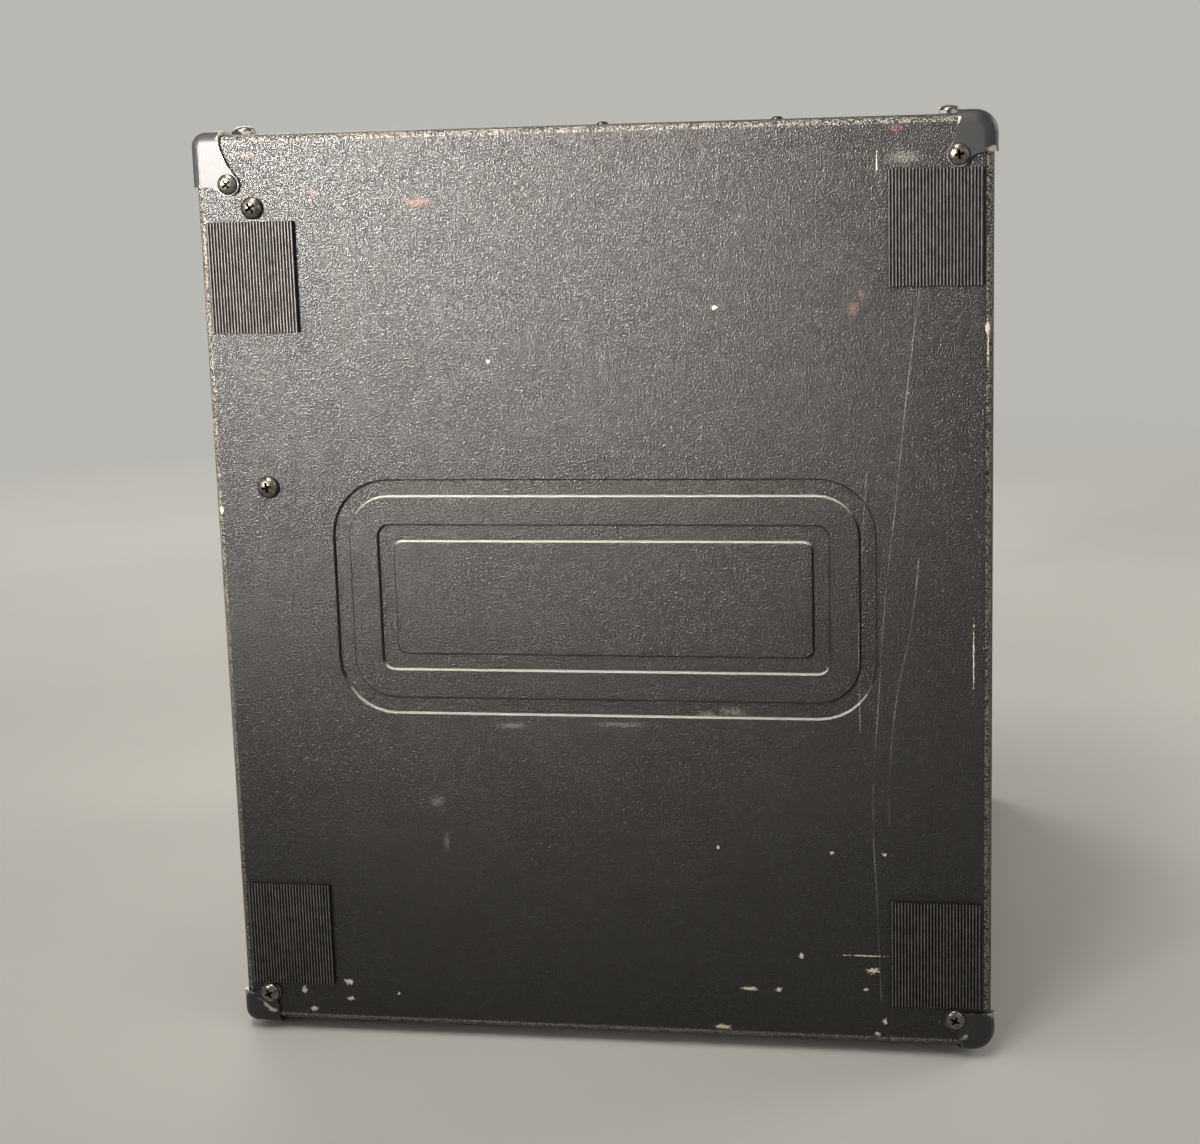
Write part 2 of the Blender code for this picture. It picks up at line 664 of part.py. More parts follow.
def build_protectors():
    cabinet_block("protector_outside", GAP + PROTECTOR_THICKNESS)
    cabinet_block("protector_inside", GAP)
    for side in SIDES:
        for end in ENDS:
            for level in LEVELS:
                build_protector(side, end, level)


def pad_outline():
    """Section of a side pad: flat behind, with pointed ribs in front."""
    pitch = PAD_LENGTH / PAD_RIBS
    outline = [(0, 0), (PAD_LENGTH, 0), (PAD_LENGTH, PAD_THICKNESS - PAD_RIB_HEIGHT)]
    for number in reversed(range(PAD_RIBS)):
        outline.append(((number + 0.5) * pitch, PAD_THICKNESS))
        outline.append((number * pitch, PAD_THICKNESS - PAD_RIB_HEIGHT))
    return outline


def build_pads():
    for end, sign_y in ENDS.items():
        for level in LEVELS:
            drop = PAD_DROPS[end, level] if level == "top" else CABINET_HEIGHT - PAD_RISE - PAD_HEIGHT
            start_y = REAR - PAD_FROM_END - PAD_LENGTH if sign_y > 0 else FRONT + PAD_FROM_END
            outline = [(LEFT - GAP - out, start_y + along) for along, out in pad_outline()]
            prism(
                f"side_pad_{end}_{level}", outline, "XY",
                TOP - drop - PAD_HEIGHT, TOP - drop, "black_rubber",
            )
    for side, sign_x in SIDES.items():
        for end, sign_y in ENDS.items():
            xs = sorted((sign_x * (RIGHT - FOOT_INSET), sign_x * (RIGHT - FOOT_INSET - PAD_LENGTH)))
            ys = sorted((sign_y * (REAR - FOOT_INSET), sign_y * (REAR - FOOT_INSET - PAD_HEIGHT)))
            box(f"foot_{end}_{side}", (xs[0], ys[0], 0), (xs[1], ys[1], FOOT_HEIGHT), "black_rubber")


def build_chassis_screws():
    for side, sign_x in SIDES.items():
        for level, drop in CHASSIS_SCREW_DROPS.items():
            shank = BOARD + CHASSIS_SHEET + 6 * MM
            profile = [
                (0, 3.2 * MM),
                (2.6 * MM, 2.9 * MM),
                (4.3 * MM, 1.9 * MM),
                (CHASSIS_SCREW_HEAD, 0.4 * MM),
                (CHASSIS_SCREW_HEAD, GAP),
                (CHASSIS_SCREW_SHANK, GAP),
                (CHASSIS_SCREW_SHANK, -shank),
                (0, -shank),
            ]
            origin = (sign_x * RIGHT, REAR - CHASSIS_SCREW_FROM_REAR, TOP - drop)
            facing = Vector((sign_x, 0, 0))
            turned(f"chassis_screw_{side}_{level}", profile, origin, "screw_steel", facing, 16)


def build_chassis():
    """Rear plate with side flanges and a tray, cut for the fan, the sockets and the inlet."""
    chassis = box(
        "amp_chassis",
        (-CHASSIS_HALF, CHASSIS_Y - CHASSIS_SHEET, CHASSIS_Z),
        (CHASSIS_HALF, CHASSIS_Y, INNER_TOP - GAP),
        "black_steel",
    )
    tray = box(
        "chassis_tray", (-CHASSIS_HALF, TRAY_FRONT, CHASSIS_Z), (CHASSIS_HALF, CHASSIS_Y, TRAY_TOP)
    )
    lip = box(
        "chassis_lip",
        (-CHASSIS_HALF, TRAY_FRONT, CHASSIS_Z),
        (CHASSIS_HALF, TRAY_FRONT + CHASSIS_SHEET, CHASSIS_Z + CHASSIS_LIP),
    )
    flanges = [
        box(
            f"chassis_flange_{side}",
            (min(sign * CHASSIS_HALF, sign * (CHASSIS_HALF - CHASSIS_SHEET)),
             CHASSIS_Y - CHASSIS_FLANGE, CHASSIS_Z),
            (max(sign * CHASSIS_HALF, sign * (CHASSIS_HALF - CHASSIS_SHEET)),
             CHASSIS_Y, PANEL_UNDER - GAP),
        )
        for side, sign in SIDES.items()
    ]
    combine(chassis, "UNION", tray, lip, *flanges)
    behind = CHASSIS_Y + BOARD
    inside = CHASSIS_Y - BOARD
    round_holes = [
        ("speaker_socket_hole", SPEAKER_SOCKET, JACK_BUSH + GAP),
        ("di_socket_hole", DI_SOCKET, DI_RADIUS + GAP),
    ]
    for name, (across, drop), radius in round_holes:
        combine(
            chassis, "DIFFERENCE",
            rods(name, [((across, inside, TOP - drop), (across, behind, TOP - drop))], radius),
        )
    across, drop = INLET_PLACE
    reach_x = INLET_WIDTH / 2 - INLET_RIM
    reach_z = INLET_HEIGHT / 2 - INLET_RIM
    inlet = box(
        "inlet_cutout",
        (across - reach_x, inside, TOP - drop - reach_z),
        (across + reach_x, behind, TOP - drop + reach_z),
    )
    vents = []
    across, drop = FAN_PLACE
    for number in range(FAN_SLOTS):
        offset = (number - (FAN_SLOTS - 1) / 2) * FAN_SLOT_PITCH
        reach = math.sqrt((FAN_BORE - MM) ** 2 - offset**2) - MM
        low = (across + offset - FAN_SLOT_WIDTH / 2, inside, TOP - drop - reach)
        vents.append((low, (across + offset + FAN_SLOT_WIDTH / 2, behind, TOP - drop + reach)))
    slots = boxes("fan_slots", vents)
    screw_holes = chassis_screw_holes("flange_holes", CHASSIS_SCREW_SHANK + GAP)
    combine(chassis, "DIFFERENCE", inlet, slots, screw_holes)


def build_back():
    back = box(
        "back_board",
        (-CHASSIS_HALF, CHASSIS_Y - BACK_BOARD, INNER_BOTTOM + GAP),
        (CHASSIS_HALF, CHASSIS_Y, CHASSIS_Z - GAP),
        "coated_wood",
    )
    outer = PORT_RADIUS + PORT_WALL
    rim = outer + PORT_FLARE
    lip = PORT_RADIUS + PORT_FLARE
    for side, sign_x in SIDES.items():
        place = (sign_x * (INNER_HALF - PORT_FROM_SIDE), CHASSIS_Y, BOTTOM + PORT_RISE)
        start = (place[0], CHASSIS_Y - BACK_BOARD - BOARD, place[2])
        end = (place[0], CHASSIS_Y + BOARD, place[2])
        combine(back, "DIFFERENCE", rods(f"port_hole_{side}", [(start, end)], outer + GAP, sides=40))
        flare = [(lip - PORT_FLARE * math.sin(t), -PORT_FLARE * (1 - math.cos(t)) + PORT_RIM)
                 for t in (math.radians(angle) for angle in (90, 60, 30, 0))]
        profile = [
            (rim, PORT_RIM),
            (rim, GAP),
            (outer, GAP),
            (outer, -PORT_LENGTH),
            (PORT_RADIUS, -PORT_LENGTH),
        ] + flare
        turned(f"port_tube_{side}", profile, place, "black_plastic", BACKWARDS)


def build_panel():
    """Steel plate under the opening in the top board, with the holes for all controls."""
    reach = CONTROL_LENGTH / 2 + PANEL_OVERLAP
    panel = box(
        "control_panel",
        (-reach, CONTROL_FRONT - PANEL_OVERLAP, PANEL_UNDER),
        (reach, CONTROL_REAR + PANEL_OVERLAP, PANEL_TOP),
        "black_steel",
    )
    low, high = PANEL_UNDER - BOARD, PANEL_TOP + BOARD
    shafts = [((x, KNOB_Y, low), (x, KNOB_Y, high)) for x in knob_places().values()]
    combine(panel, "DIFFERENCE", rods("shaft_holes", shafts, SHAFT_RADIUS + SHAFT_CLEARANCE, sides=16))
    jacks = [((x, KNOB_Y, low), (x, KNOB_Y, high)) for x in (-JACK_OFFSET, JACK_OFFSET)]
    combine(panel, "DIFFERENCE", rods("jack_holes", jacks, JACK_BUSH + GAP, sides=24))
    reach = BUTTON_SIZE / 2 + GAP
    buttons = [
        ((x - reach, BUTTON_Y - reach, low), (x + reach, BUTTON_Y + reach, high))
        for x in button_places().values()
    ]
    combine(panel, "DIFFERENCE", boxes("button_holes", buttons))


def knob_places():
    middle = (len(KNOB_NAMES) - 1) / 2
    return {name: (number - middle) * KNOB_PITCH for number, name in enumerate(KNOB_NAMES)}


def button_places():
    return {name: place * KNOB_PITCH for name, place in BUTTON_PLACES.items()}


def build_knobs():
    for name, x in knob_places().items():
        crown = KNOB_RADIUS - KNOB_CHAMFER
        profile = [
            (0, KNOB_HEIGHT),
            (crown - KNOB_CHAMFER, KNOB_HEIGHT),
            (crown, KNOB_HEIGHT - KNOB_CHAMFER),
            (KNOB_RADIUS, KNOB_SKIRT),
            (KNOB_RADIUS, KNOB_LIFT),
            (SHAFT_RADIUS, KNOB_LIFT),
            (SHAFT_RADIUS, -SHAFT_END),
            (0, -SHAFT_END),
        ]
        knob = turned(f"knob_{name}", profile, (x, KNOB_Y, PANEL_TOP), "black_plastic", steps=KNOB_FACETS)
        pointer = box(
            f"pointer_{name}",
            (-POINTER_WIDTH / 2, POINTER_START, KNOB_HEIGHT - POINTER_DEPTH),
            (POINTER_WIDTH / 2, KNOB_RADIUS, KNOB_HEIGHT + MM),
            origin=(x, KNOB_Y, PANEL_TOP),
        )
        combine(knob, "DIFFERENCE", pointer)


def build_buttons():
    half = BUTTON_SIZE / 2
    wide = half + BUTTON_COLLAR
    for name, x in button_places().items():
        origin = (x, BUTTON_Y, PANEL_TOP)
        under = -PANEL_SHEET - GAP
        button = box(
            f"button_{name}", (-half, -half, under - BUTTON_COLLAR), (half, half, BUTTON_PROUD),
            "grey_plastic", origin,
        )
        collar = box(
            f"button_collar_{name}",
            (-wide, -wide, under - 2 * BUTTON_COLLAR), (wide, wide, under), origin=origin,
        )
        combine(button, "UNION", collar)


def jack(name, mouth, facing):
    """Quarter-inch socket: a nut outside the sheet, a bush through it and a closed body behind."""
    profile = [
        (0, JACK_FLOOR - JACK_DEPTH),
        (JACK_BORE, JACK_FLOOR - JACK_DEPTH),
        (JACK_BORE, JACK_NUT_HEIGHT),
        (JACK_NUT, JACK_NUT_HEIGHT),
        (JACK_NUT, GAP),
        (JACK_BUSH, GAP),
        (JACK_BUSH, -PANEL_SHEET - GAP),
        (JACK_BODY, -PANEL_SHEET - GAP),
        (JACK_BODY, -JACK_DEPTH),
        (0, -JACK_DEPTH),
    ]
    turned(name, profile, mouth, "black_plastic", facing, 16)


def build_sockets():
    jack("input_jack", (-JACK_OFFSET, KNOB_Y, PANEL_TOP), UPWARDS)
    jack("headphone_jack", (JACK_OFFSET, KNOB_Y, PANEL_TOP), UPWARDS)
    across, drop = SPEAKER_SOCKET
    jack("speaker_socket", (across, CHASSIS_Y, TOP - drop), BACKWARDS)
    across, drop = DI_SOCKET
    profile = [
        (0, DI_PROUD),
        (DI_RADIUS + DI_RIM, DI_PROUD),
        (DI_RADIUS + DI_RIM, GAP),
        (DI_RADIUS, GAP),
        (DI_RADIUS, -DI_DEPTH - DI_FLOOR),
        (0, -DI_DEPTH - DI_FLOOR),
    ]
    place = (across, CHASSIS_Y, TOP - drop)
    socket = turned("di_socket", profile, place, "zinc_steel", BACKWARDS)
    floor_y = CHASSIS_Y - DI_DEPTH
    recess = rods(
        "di_recess", [((across, floor_y, place[2]), (across, CHASSIS_Y + BOARD, place[2]))], DI_RECESS
    )
    pins = []
    for angle in (90, 210, 330):
        x = across + DI_PIN_CIRCLE * math.cos(math.radians(angle))
        z = place[2] + DI_PIN_CIRCLE * math.sin(math.radians(angle))
        pins.append(((x, floor_y - DI_FLOOR / 2, z), (x, CHASSIS_Y - PIN_SETBACK, z)))
    combine(socket, "DIFFERENCE", recess)
    combine(socket, "UNION", rods("di_pins", pins, DI_PIN_RADIUS, sides=8))


def build_inlet():
    """Mains inlet with its switch housing, and the rocker that tilts in it."""
    across, drop = INLET_PLACE
    middle_z = TOP - drop
    outside = CHASSIS_Y + GAP + INLET_FLANGE
    half_x, half_z = INLET_WIDTH / 2, INLET_HEIGHT / 2
    inlet = box(
        "mains_inlet",
        (across - half_x, CHASSIS_Y + GAP, middle_z - half_z),
        (across + half_x, outside, middle_z + half_z),
        "black_plastic",
    )
    inset = INLET_RIM + GAP
    body = box(
        "inlet_body",
        (across - half_x + inset, outside - INLET_BODY_DEPTH, middle_z - half_z + inset),
        (across + half_x - inset, outside - MM, middle_z + half_z - inset),
    )
    width, height, depth = INLET_RECESS
    socket_z = middle_z - INLET_RECESS_DROP
    recess = box(
        "inlet_recess",
        (across - width / 2, outside - depth, socket_z - height / 2),
        (across + width / 2, outside + BOARD, socket_z + height / 2),
    )
    rocker_z = middle_z + ROCKER_RISE
    window_x = ROCKER_WIDTH / 2 + MM
    window_z = ROCKER_HEIGHT / 2 + GAP
    window = box(
        "rocker_window",
        (across - window_x, outside - ROCKER_WINDOW_DEPTH, rocker_z - window_z),
        (across + window_x, outside + BOARD, rocker_z + window_z),
    )
    pin_x, pin_z = INLET_PIN[0] / 2, INLET_PIN[1] / 2
    pins = [
        ((across + x - pin_x, outside - depth - MM, socket_z + z - pin_z),
         (across + x + pin_x, outside - PIN_SETBACK, socket_z + z + pin_z))
        for x, z in INLET_PINS
    ]
    combine(inlet, "UNION", body)
    combine(inlet, "DIFFERENCE", recess, window)
    combine(inlet, "UNION", boxes("inlet_pins", pins))
    half = ROCKER_WIDTH / 2
    foot = 0.6 * half
    outline = [
        (-half, 2.2 * MM), (-half, -0.8 * MM), (-foot, -ROCKER_WINDOW_DEPTH / 2),
        (foot, -ROCKER_WINDOW_DEPTH / 2), (half, -0.8 * MM), (half, 2.2 * MM), (0, 3.4 * MM),
    ]
    turn = math.radians(ROCKER_TILT)
    tilted = [
        (x * math.cos(turn) - y * math.sin(turn), x * math.sin(turn) + y * math.cos(turn))
        for x, y in outline
    ]
    prism(
        "power_rocker", tilted, "XY", -ROCKER_HEIGHT / 2, ROCKER_HEIGHT / 2,
        "black_plastic", (across, outside - ROCKER_SETBACK, rocker_z),
    )


def build_fan():
    across, drop = FAN_PLACE
    middle = Vector((across, 0, TOP - drop))
    rear = CHASSIS_Y - CHASSIS_SHEET - GAP
    front = rear - FAN_DEPTH
    half = FAN_SIZE / 2
    frame = box(
        "fan_frame",
        (across - half, front, middle.z - half), (across + half, rear, middle.z + half),
        "black_plastic",
    )
    bore = rods(
        "fan_bore", [(middle + BACKWARDS * (front - BOARD), middle + BACKWARDS * (rear + BOARD))],
        FAN_BORE, sides=32,
    )
    motor_front = front + 2 * FAN_STRUT_SETBACK
    motor_rear = front + FAN_STRUT
    motor = rods(
        "fan_motor", [(middle + BACKWARDS * motor_front, middle + BACKWARDS * motor_rear)],
        FAN_HUB, sides=20,
    )
    reach = (half + FAN_BORE) / 2
    level = front + FAN_STRUT_SETBACK
    struts = box(
        "fan_struts",
        (across - reach, level, middle.z - FAN_STRUT / 2),
        (across + reach, level + FAN_STRUT_DEPTH, middle.z + FAN_STRUT / 2),
    )
    level += FAN_STRUT_SETBACK / 2
    upright = box(
        "fan_upright_struts",
        (across - FAN_STRUT / 2, level, middle.z - reach),
        (across + FAN_STRUT / 2, level + FAN_STRUT_DEPTH, middle.z + reach),
    )
    combine(frame, "DIFFERENCE", bore)
    combine(frame, "UNION", motor, struts, upright)
    hub_front = motor_rear + GAP
    hub_depth = rear - hub_front - 2 * MM
    profile = [(0, hub_depth), (FAN_HUB - MM, hub_depth), (FAN_HUB, hub_depth - MM), (FAN_HUB, 0), (0, 0)]
    rotor = turned("fan_rotor", profile, middle + BACKWARDS * hub_front, "black_plastic", BACKWARDS, 20)
    tip = FAN_BORE - FAN_BLADE_CLEARANCE
    root = FAN_HUB - 2 * MM
    bm = bmesh.new()
    for number in range(FAN_BLADES):
        size = Vector((tip - root, *FAN_BLADE))
        out = (tip + root) / 2
        pose = (
            Matrix.Translation(middle + BACKWARDS * (hub_front + hub_depth / 2))
            @ Matrix.Rotation(2 * math.pi * number / FAN_BLADES, 4, "Y")
            @ Matrix.Translation((out, 0, 0))
            @ Matrix.Rotation(math.radians(FAN_BLADE_TWIST), 4, "X")
        )
        bmesh.ops.create_cube(bm, size=1, matrix=pose @ Matrix.Diagonal((*size, 1)))
    combine(rotor, "UNION", add_object("fan_blades", mesh_from("fan_blades", bm), None))


def build_boards():
    """Preamplifier board under the panel, power board and heatsink on the tray."""
    reach = JACK_OFFSET - JACK_BODY - PREAMP_TO_JACK
    front, rear = KNOB_Y - PREAMP_MARGIN, BUTTON_Y + PREAMP_MARGIN
    sunk = BOARD_SHEET / 2
    preamp = box(
        "preamp_board", (-reach, front, PREAMP_UNDER), (reach, rear, PREAMP_TOP), "circuit_board"
    )
    pot_top = PANEL_TOP - SHAFT_END - GAP
    pot_x, pot_y = POTENTIOMETER[0] / 2, POTENTIOMETER[1] / 2
    blocks = [
        ((x - pot_x, KNOB_Y - pot_y, PREAMP_TOP - sunk), (x + pot_x, KNOB_Y + pot_y, pot_top))
        for x in knob_places().values()
    ]
    switch_top = PANEL_UNDER - 2 * BUTTON_COLLAR - BUTTON_TRAVEL - 3 * GAP
    half = SWITCH_SIZE / 2
    blocks += [
        ((x - half, BUTTON_Y - half, PREAMP_TOP - sunk), (x + half, BUTTON_Y + half, switch_top))
        for x in button_places().values()
    ]
    pillars = [
        ((x, y, PREAMP_TOP - sunk), (x, y, PANEL_UNDER - GAP))
        for x in (PILLAR_INSET - reach, reach - PILLAR_INSET)
        for y in (front + PILLAR_INSET, rear - PILLAR_INSET)
    ]
    combine(
        preamp, "UNION",
        boxes("potentiometers", blocks), rods("pillars", pillars, PILLAR_RADIUS, sides=8),
    )
    power_rear = CHASSIS_Y - POWER_BOARD_FROM_PLATE
    power = box(
        "power_board",
        (POWER_BOARD_LEFT, POWER_BOARD_FRONT, POWER_BOARD_UNDER),
        (POWER_BOARD_RIGHT, power_rear, POWER_BOARD_TOP),
        "circuit_board",
    )
    corner = Vector((POWER_BOARD_LEFT, POWER_BOARD_FRONT, POWER_BOARD_TOP))
    parts = []
    for across, along, length, width, height in (*POWER_BLOCKS, PLUG_BLOCK):
        low = corner + Vector((across, along, -sunk))
        parts.append((low, corner + Vector((across + length, along + width, height))))
    base = TRAY_TOP + GAP
    feet = [
        ((x, y, base), (x, y, POWER_BOARD_UNDER + sunk))
        for x in (POWER_BOARD_LEFT + PILLAR_INSET, POWER_BOARD_RIGHT - PILLAR_INSET)
        for y in (POWER_BOARD_FRONT + PILLAR_INSET, power_rear - PILLAR_INSET)
    ]
    cans = [
        (corner + Vector((across, along, -sunk)), corner + Vector((across, along, CAPACITOR_HEIGHT)))
        for across, along in CAPACITOR_PLACES
    ]
    combine(
        power, "UNION",
        boxes("power_parts", parts),
        rods("board_feet", feet, PILLAR_RADIUS, sides=8),
        rods("capacitors", cans, CAPACITOR_RADIUS, sides=16),
    )
    start, end = HEATSINK_START, HEATSINK_START + HEATSINK_WIDTH
    pitch = (HEATSINK_WIDTH - HEATSINK_FIN) / (HEATSINK_FINS - 1)
    outline = [(start, base), (end, base)]
    for number in reversed(range(HEATSINK_FINS)):
        fin = start + number * pitch
        outline += [
            (fin + HEATSINK_FIN, base + HEATSINK_FOOT),
            (fin + HEATSINK_FIN, base + HEATSINK_HEIGHT),
            (fin, base + HEATSINK_HEIGHT),
            (fin, base + HEATSINK_FOOT),
        ]
    del outline[2]
    del outline[-1]
    low, high = HEATSINK_FROM_PLATE - CHASSIS_Y, -(TRAY_FRONT + HEATSINK_FROM_LIP)
    prism("heatsink", outline, "XZ", low, high, "aluminium")


def build_handle():
    """Recessed dish, a grip on two legs that folds into it, and the pin that both turn on."""
    outer_x = DISH_LENGTH / 2 + DISH_WALL
    outer_y = DISH_WIDTH / 2 + DISH_WALL
    dish = box(
        "handle_dish",
        (-outer_x, HANDLE_Y - outer_y, TOP - DISH_DEPTH - DISH_WALL),
        (outer_x, HANDLE_Y + outer_y, TOP + GAP + DISH_FLANGE_SHEET),
        "black_plastic",
    )
    flange = prism(
        "dish_flange",
        rounded_rectangle(
            (-outer_x - DISH_FLANGE, HANDLE_Y - outer_y - DISH_FLANGE),
            (outer_x + DISH_FLANGE, HANDLE_Y + outer_y + DISH_FLANGE),
            (DISH_CORNER,) * 4,
        ),
        "XY", TOP + GAP, TOP + GAP + DISH_FLANGE_SHEET,
    )
    hollow = box(
        "dish_hollow",
        (-DISH_LENGTH / 2, HANDLE_Y - DISH_WIDTH / 2, TOP - DISH_DEPTH),
        (DISH_LENGTH / 2, HANDLE_Y + DISH_WIDTH / 2, TOP + BOARD),
    )
    pin_half = DISH_LENGTH / 2 + 0.75 * DISH_WALL
    pin_hole = rods(
        "pin_hole",
        [((-pin_half - MM, PIVOT_Y, PIVOT_Z), (pin_half + MM, PIVOT_Y, PIVOT_Z))],
        PIN_RADIUS + GAP, sides=16,
    )
    combine(dish, "UNION", flange)
    combine(dish, "DIFFERENCE", hollow, pin_hole)
    rods(
        "handle_pin", [((-pin_half, PIVOT_Y, PIVOT_Z), (pin_half, PIVOT_Y, PIVOT_Z))],
        PIN_RADIUS, "zinc_steel", sides=16,
    )
    origin = (0, PIVOT_Y, PIVOT_Z)
    outside = DISH_LENGTH / 2 - GRIP_END_GAP
    leg_outline = arc((0, 0), GRIP_RADIUS, -90, 90, 6) + arc((-GRIP_REACH, 0), GRIP_RADIUS, 90, 270, 6)
    legs = [
        prism(f"grip_leg_{side}", leg_outline, "YZ", *sorted((sign * outside, sign * (outside - GRIP_LEG))))
        for side, sign in SIDES.items()
    ]
    grip = rods(
        "handle_grip",
        [((-outside + MM, -GRIP_REACH, 0), (outside - MM, -GRIP_REACH, 0))],
        GRIP_RADIUS, "black_rubber", sides=20,
    )
    grip.location = origin
    for leg in legs:
        leg.location = origin
    holes = rods(
        "grip_holes", [((-outside - MM, PIVOT_Y, PIVOT_Z), (outside + MM, PIVOT_Y, PIVOT_Z))],
        PIN_RADIUS + GAP, sides=16,
    )
    combine(grip, "UNION", *legs)
    combine(grip, "DIFFERENCE", holes)


def terminal_rise():
    """Height over the loudspeaker's axis of the underside of its terminal, sunk in the basket's slope."""
    slope = (BASKET_RADIUS - LEDGE_RADIUS) / (BASKET_LEDGE - BASKET_SHOULDER)
    return BASKET_RADIUS - (TERMINAL_DEPTH - BASKET_SHOULDER) * slope - TERMINAL_SUNK


def build_basket():
    """Pressed basket: a flange, an open cone with six windows, and a pot for the magnet."""
    place = (0, WOOFER_Y, WOOFER_Z)
    sheet = BASKET_SHEET
    pot_inside = POT_RADIUS - sheet
    pot_hole = RING_GAP_RADIUS + POT_CLEARANCE
    profile = [
        (WOOFER_FLANGE_RADIUS, 0),
        (WOOFER_FLANGE_RADIUS, -WOOFER_FLANGE),
        (BASKET_RADIUS, -WOOFER_FLANGE),
        (BASKET_RADIUS, -BASKET_SHOULDER),
        (LEDGE_RADIUS, -BASKET_LEDGE),
        (LEDGE_RADIUS, -BASKET_LEDGE - sheet),
        (POT_RADIUS, -BASKET_LEDGE - sheet),
        (POT_RADIUS, -BASKET_DEPTH),
        (pot_hole, -BASKET_DEPTH),
        (pot_hole, -BASKET_DEPTH + sheet),
        (pot_inside, -BASKET_DEPTH + sheet),
        (pot_inside, -BASKET_LEDGE),
        (LEDGE_RADIUS - sheet, -BASKET_LEDGE),
        (BASKET_RADIUS - sheet, -BASKET_SHOULDER + MM),
        (BASKET_RADIUS - sheet, 0),
    ]
    basket = turned("woofer_basket", profile, place, "black_steel", FORWARDS, BIG_TURN)
    length = 2 * WOOFER_FLANGE_RADIUS
    depth = BASKET_LEDGE - BASKET_SHOULDER - 2 * BASKET_WINDOW_MARGIN
    middle = Vector(place) + BACKWARDS * (BASKET_LEDGE + BASKET_SHOULDER) / 2
    windows = []
    for number in range(3):
        turn = Matrix.Translation(middle) @ Matrix.Rotation(math.radians(60 * number), 4, "Y")
        bm = bmesh.new()
        bmesh.ops.create_cube(bm, size=1, matrix=turn @ Matrix.Diagonal((length, depth, BASKET_WINDOW, 1)))
        windows.append(add_object(f"basket_window_{number}", mesh_from(f"window_{number}", bm), None))
    terminal_y = WOOFER_Y + TERMINAL_DEPTH
    terminal_z = WOOFER_Z + terminal_rise()
    terminal = box(
        "speaker_terminal",
        (-TERMINAL_WIDTH / 2, terminal_y - TERMINAL_LENGTH / 2, terminal_z),
        (TERMINAL_WIDTH / 2, terminal_y + TERMINAL_LENGTH / 2, terminal_z + TERMINAL_HEIGHT),
    )
    combine(basket, "DIFFERENCE", *windows)
    combine(basket, "UNION", terminal)


def build_motor():
    """Magnet with its ring gap, and the coil that moves in the gap with the cone."""
    front = -BASKET_DEPTH - GAP
    gap_floor = front - RING_GAP_DEPTH
    profile = [
        (POLE_RADIUS, front),
        (POLE_RADIUS, gap_floor),
        (RING_GAP_RADIUS, gap_floor),
        (RING_GAP_RADIUS, front),
        (MAGNET_RADIUS, front),
        (MAGNET_RADIUS, front - MAGNET_DEPTH),
        (0, front - MAGNET_DEPTH),
    ]
    place = (0, WOOFER_Y, WOOFER_Z)
    turned("woofer_magnet", [(0, front)] + profile, place, "magnet", FORWARDS)
    coil_front = -CONE_DEPTH - CONE_THICKNESS - GAP
    coil_rear = front - COIL_REACH
    coil = [
        (COIL_RADIUS, coil_front), (COIL_RADIUS, coil_rear), (COIL_BORE, coil_rear), (COIL_BORE, coil_front)
    ]
    turned("voice_coil", coil, place, "copper", FORWARDS)


def build_cone():
    """Cone with its dust cap. Its rim is straight, so that it slides past the surround's lip."""
    thick = CONE_THICKNESS
    slope = (CONE_DEPTH - CONE_RIM) / (CONE_RADIUS - COIL_BORE)
    cap_depth = CONE_RIM + (CONE_RADIUS - DUST_CAP_RADIUS) * slope
    dome = []
    for angle in (0, 30, 60):
        turn = math.radians(angle)
        dome.append((DUST_CAP_RADIUS * math.sin(turn), -cap_depth + DUST_CAP_RISE * math.cos(turn)))
    inner_dome = [(max(radius - 0.4 * thick, 0), height - thick) for radius, height in reversed(dome)]
    profile = dome + [
        (DUST_CAP_RADIUS, -cap_depth),
        (CONE_RADIUS - thick, -CONE_RIM),
        (CONE_RADIUS - thick, 0),
        (CONE_RADIUS, 0),
        (CONE_RADIUS, -CONE_RIM - thick),
        (COIL_RADIUS, -CONE_DEPTH - thick),
        (COIL_BORE, -CONE_DEPTH - thick),
        (COIL_BORE + thick, -CONE_DEPTH + thick),
        (DUST_CAP_RADIUS - 2 * thick, -cap_depth - 1.5 * thick),
    ] + inner_dome
    turned("woofer_cone", profile, (0, WOOFER_Y, WOOFER_Z), "cone_paper", FORWARDS, BIG_TURN)


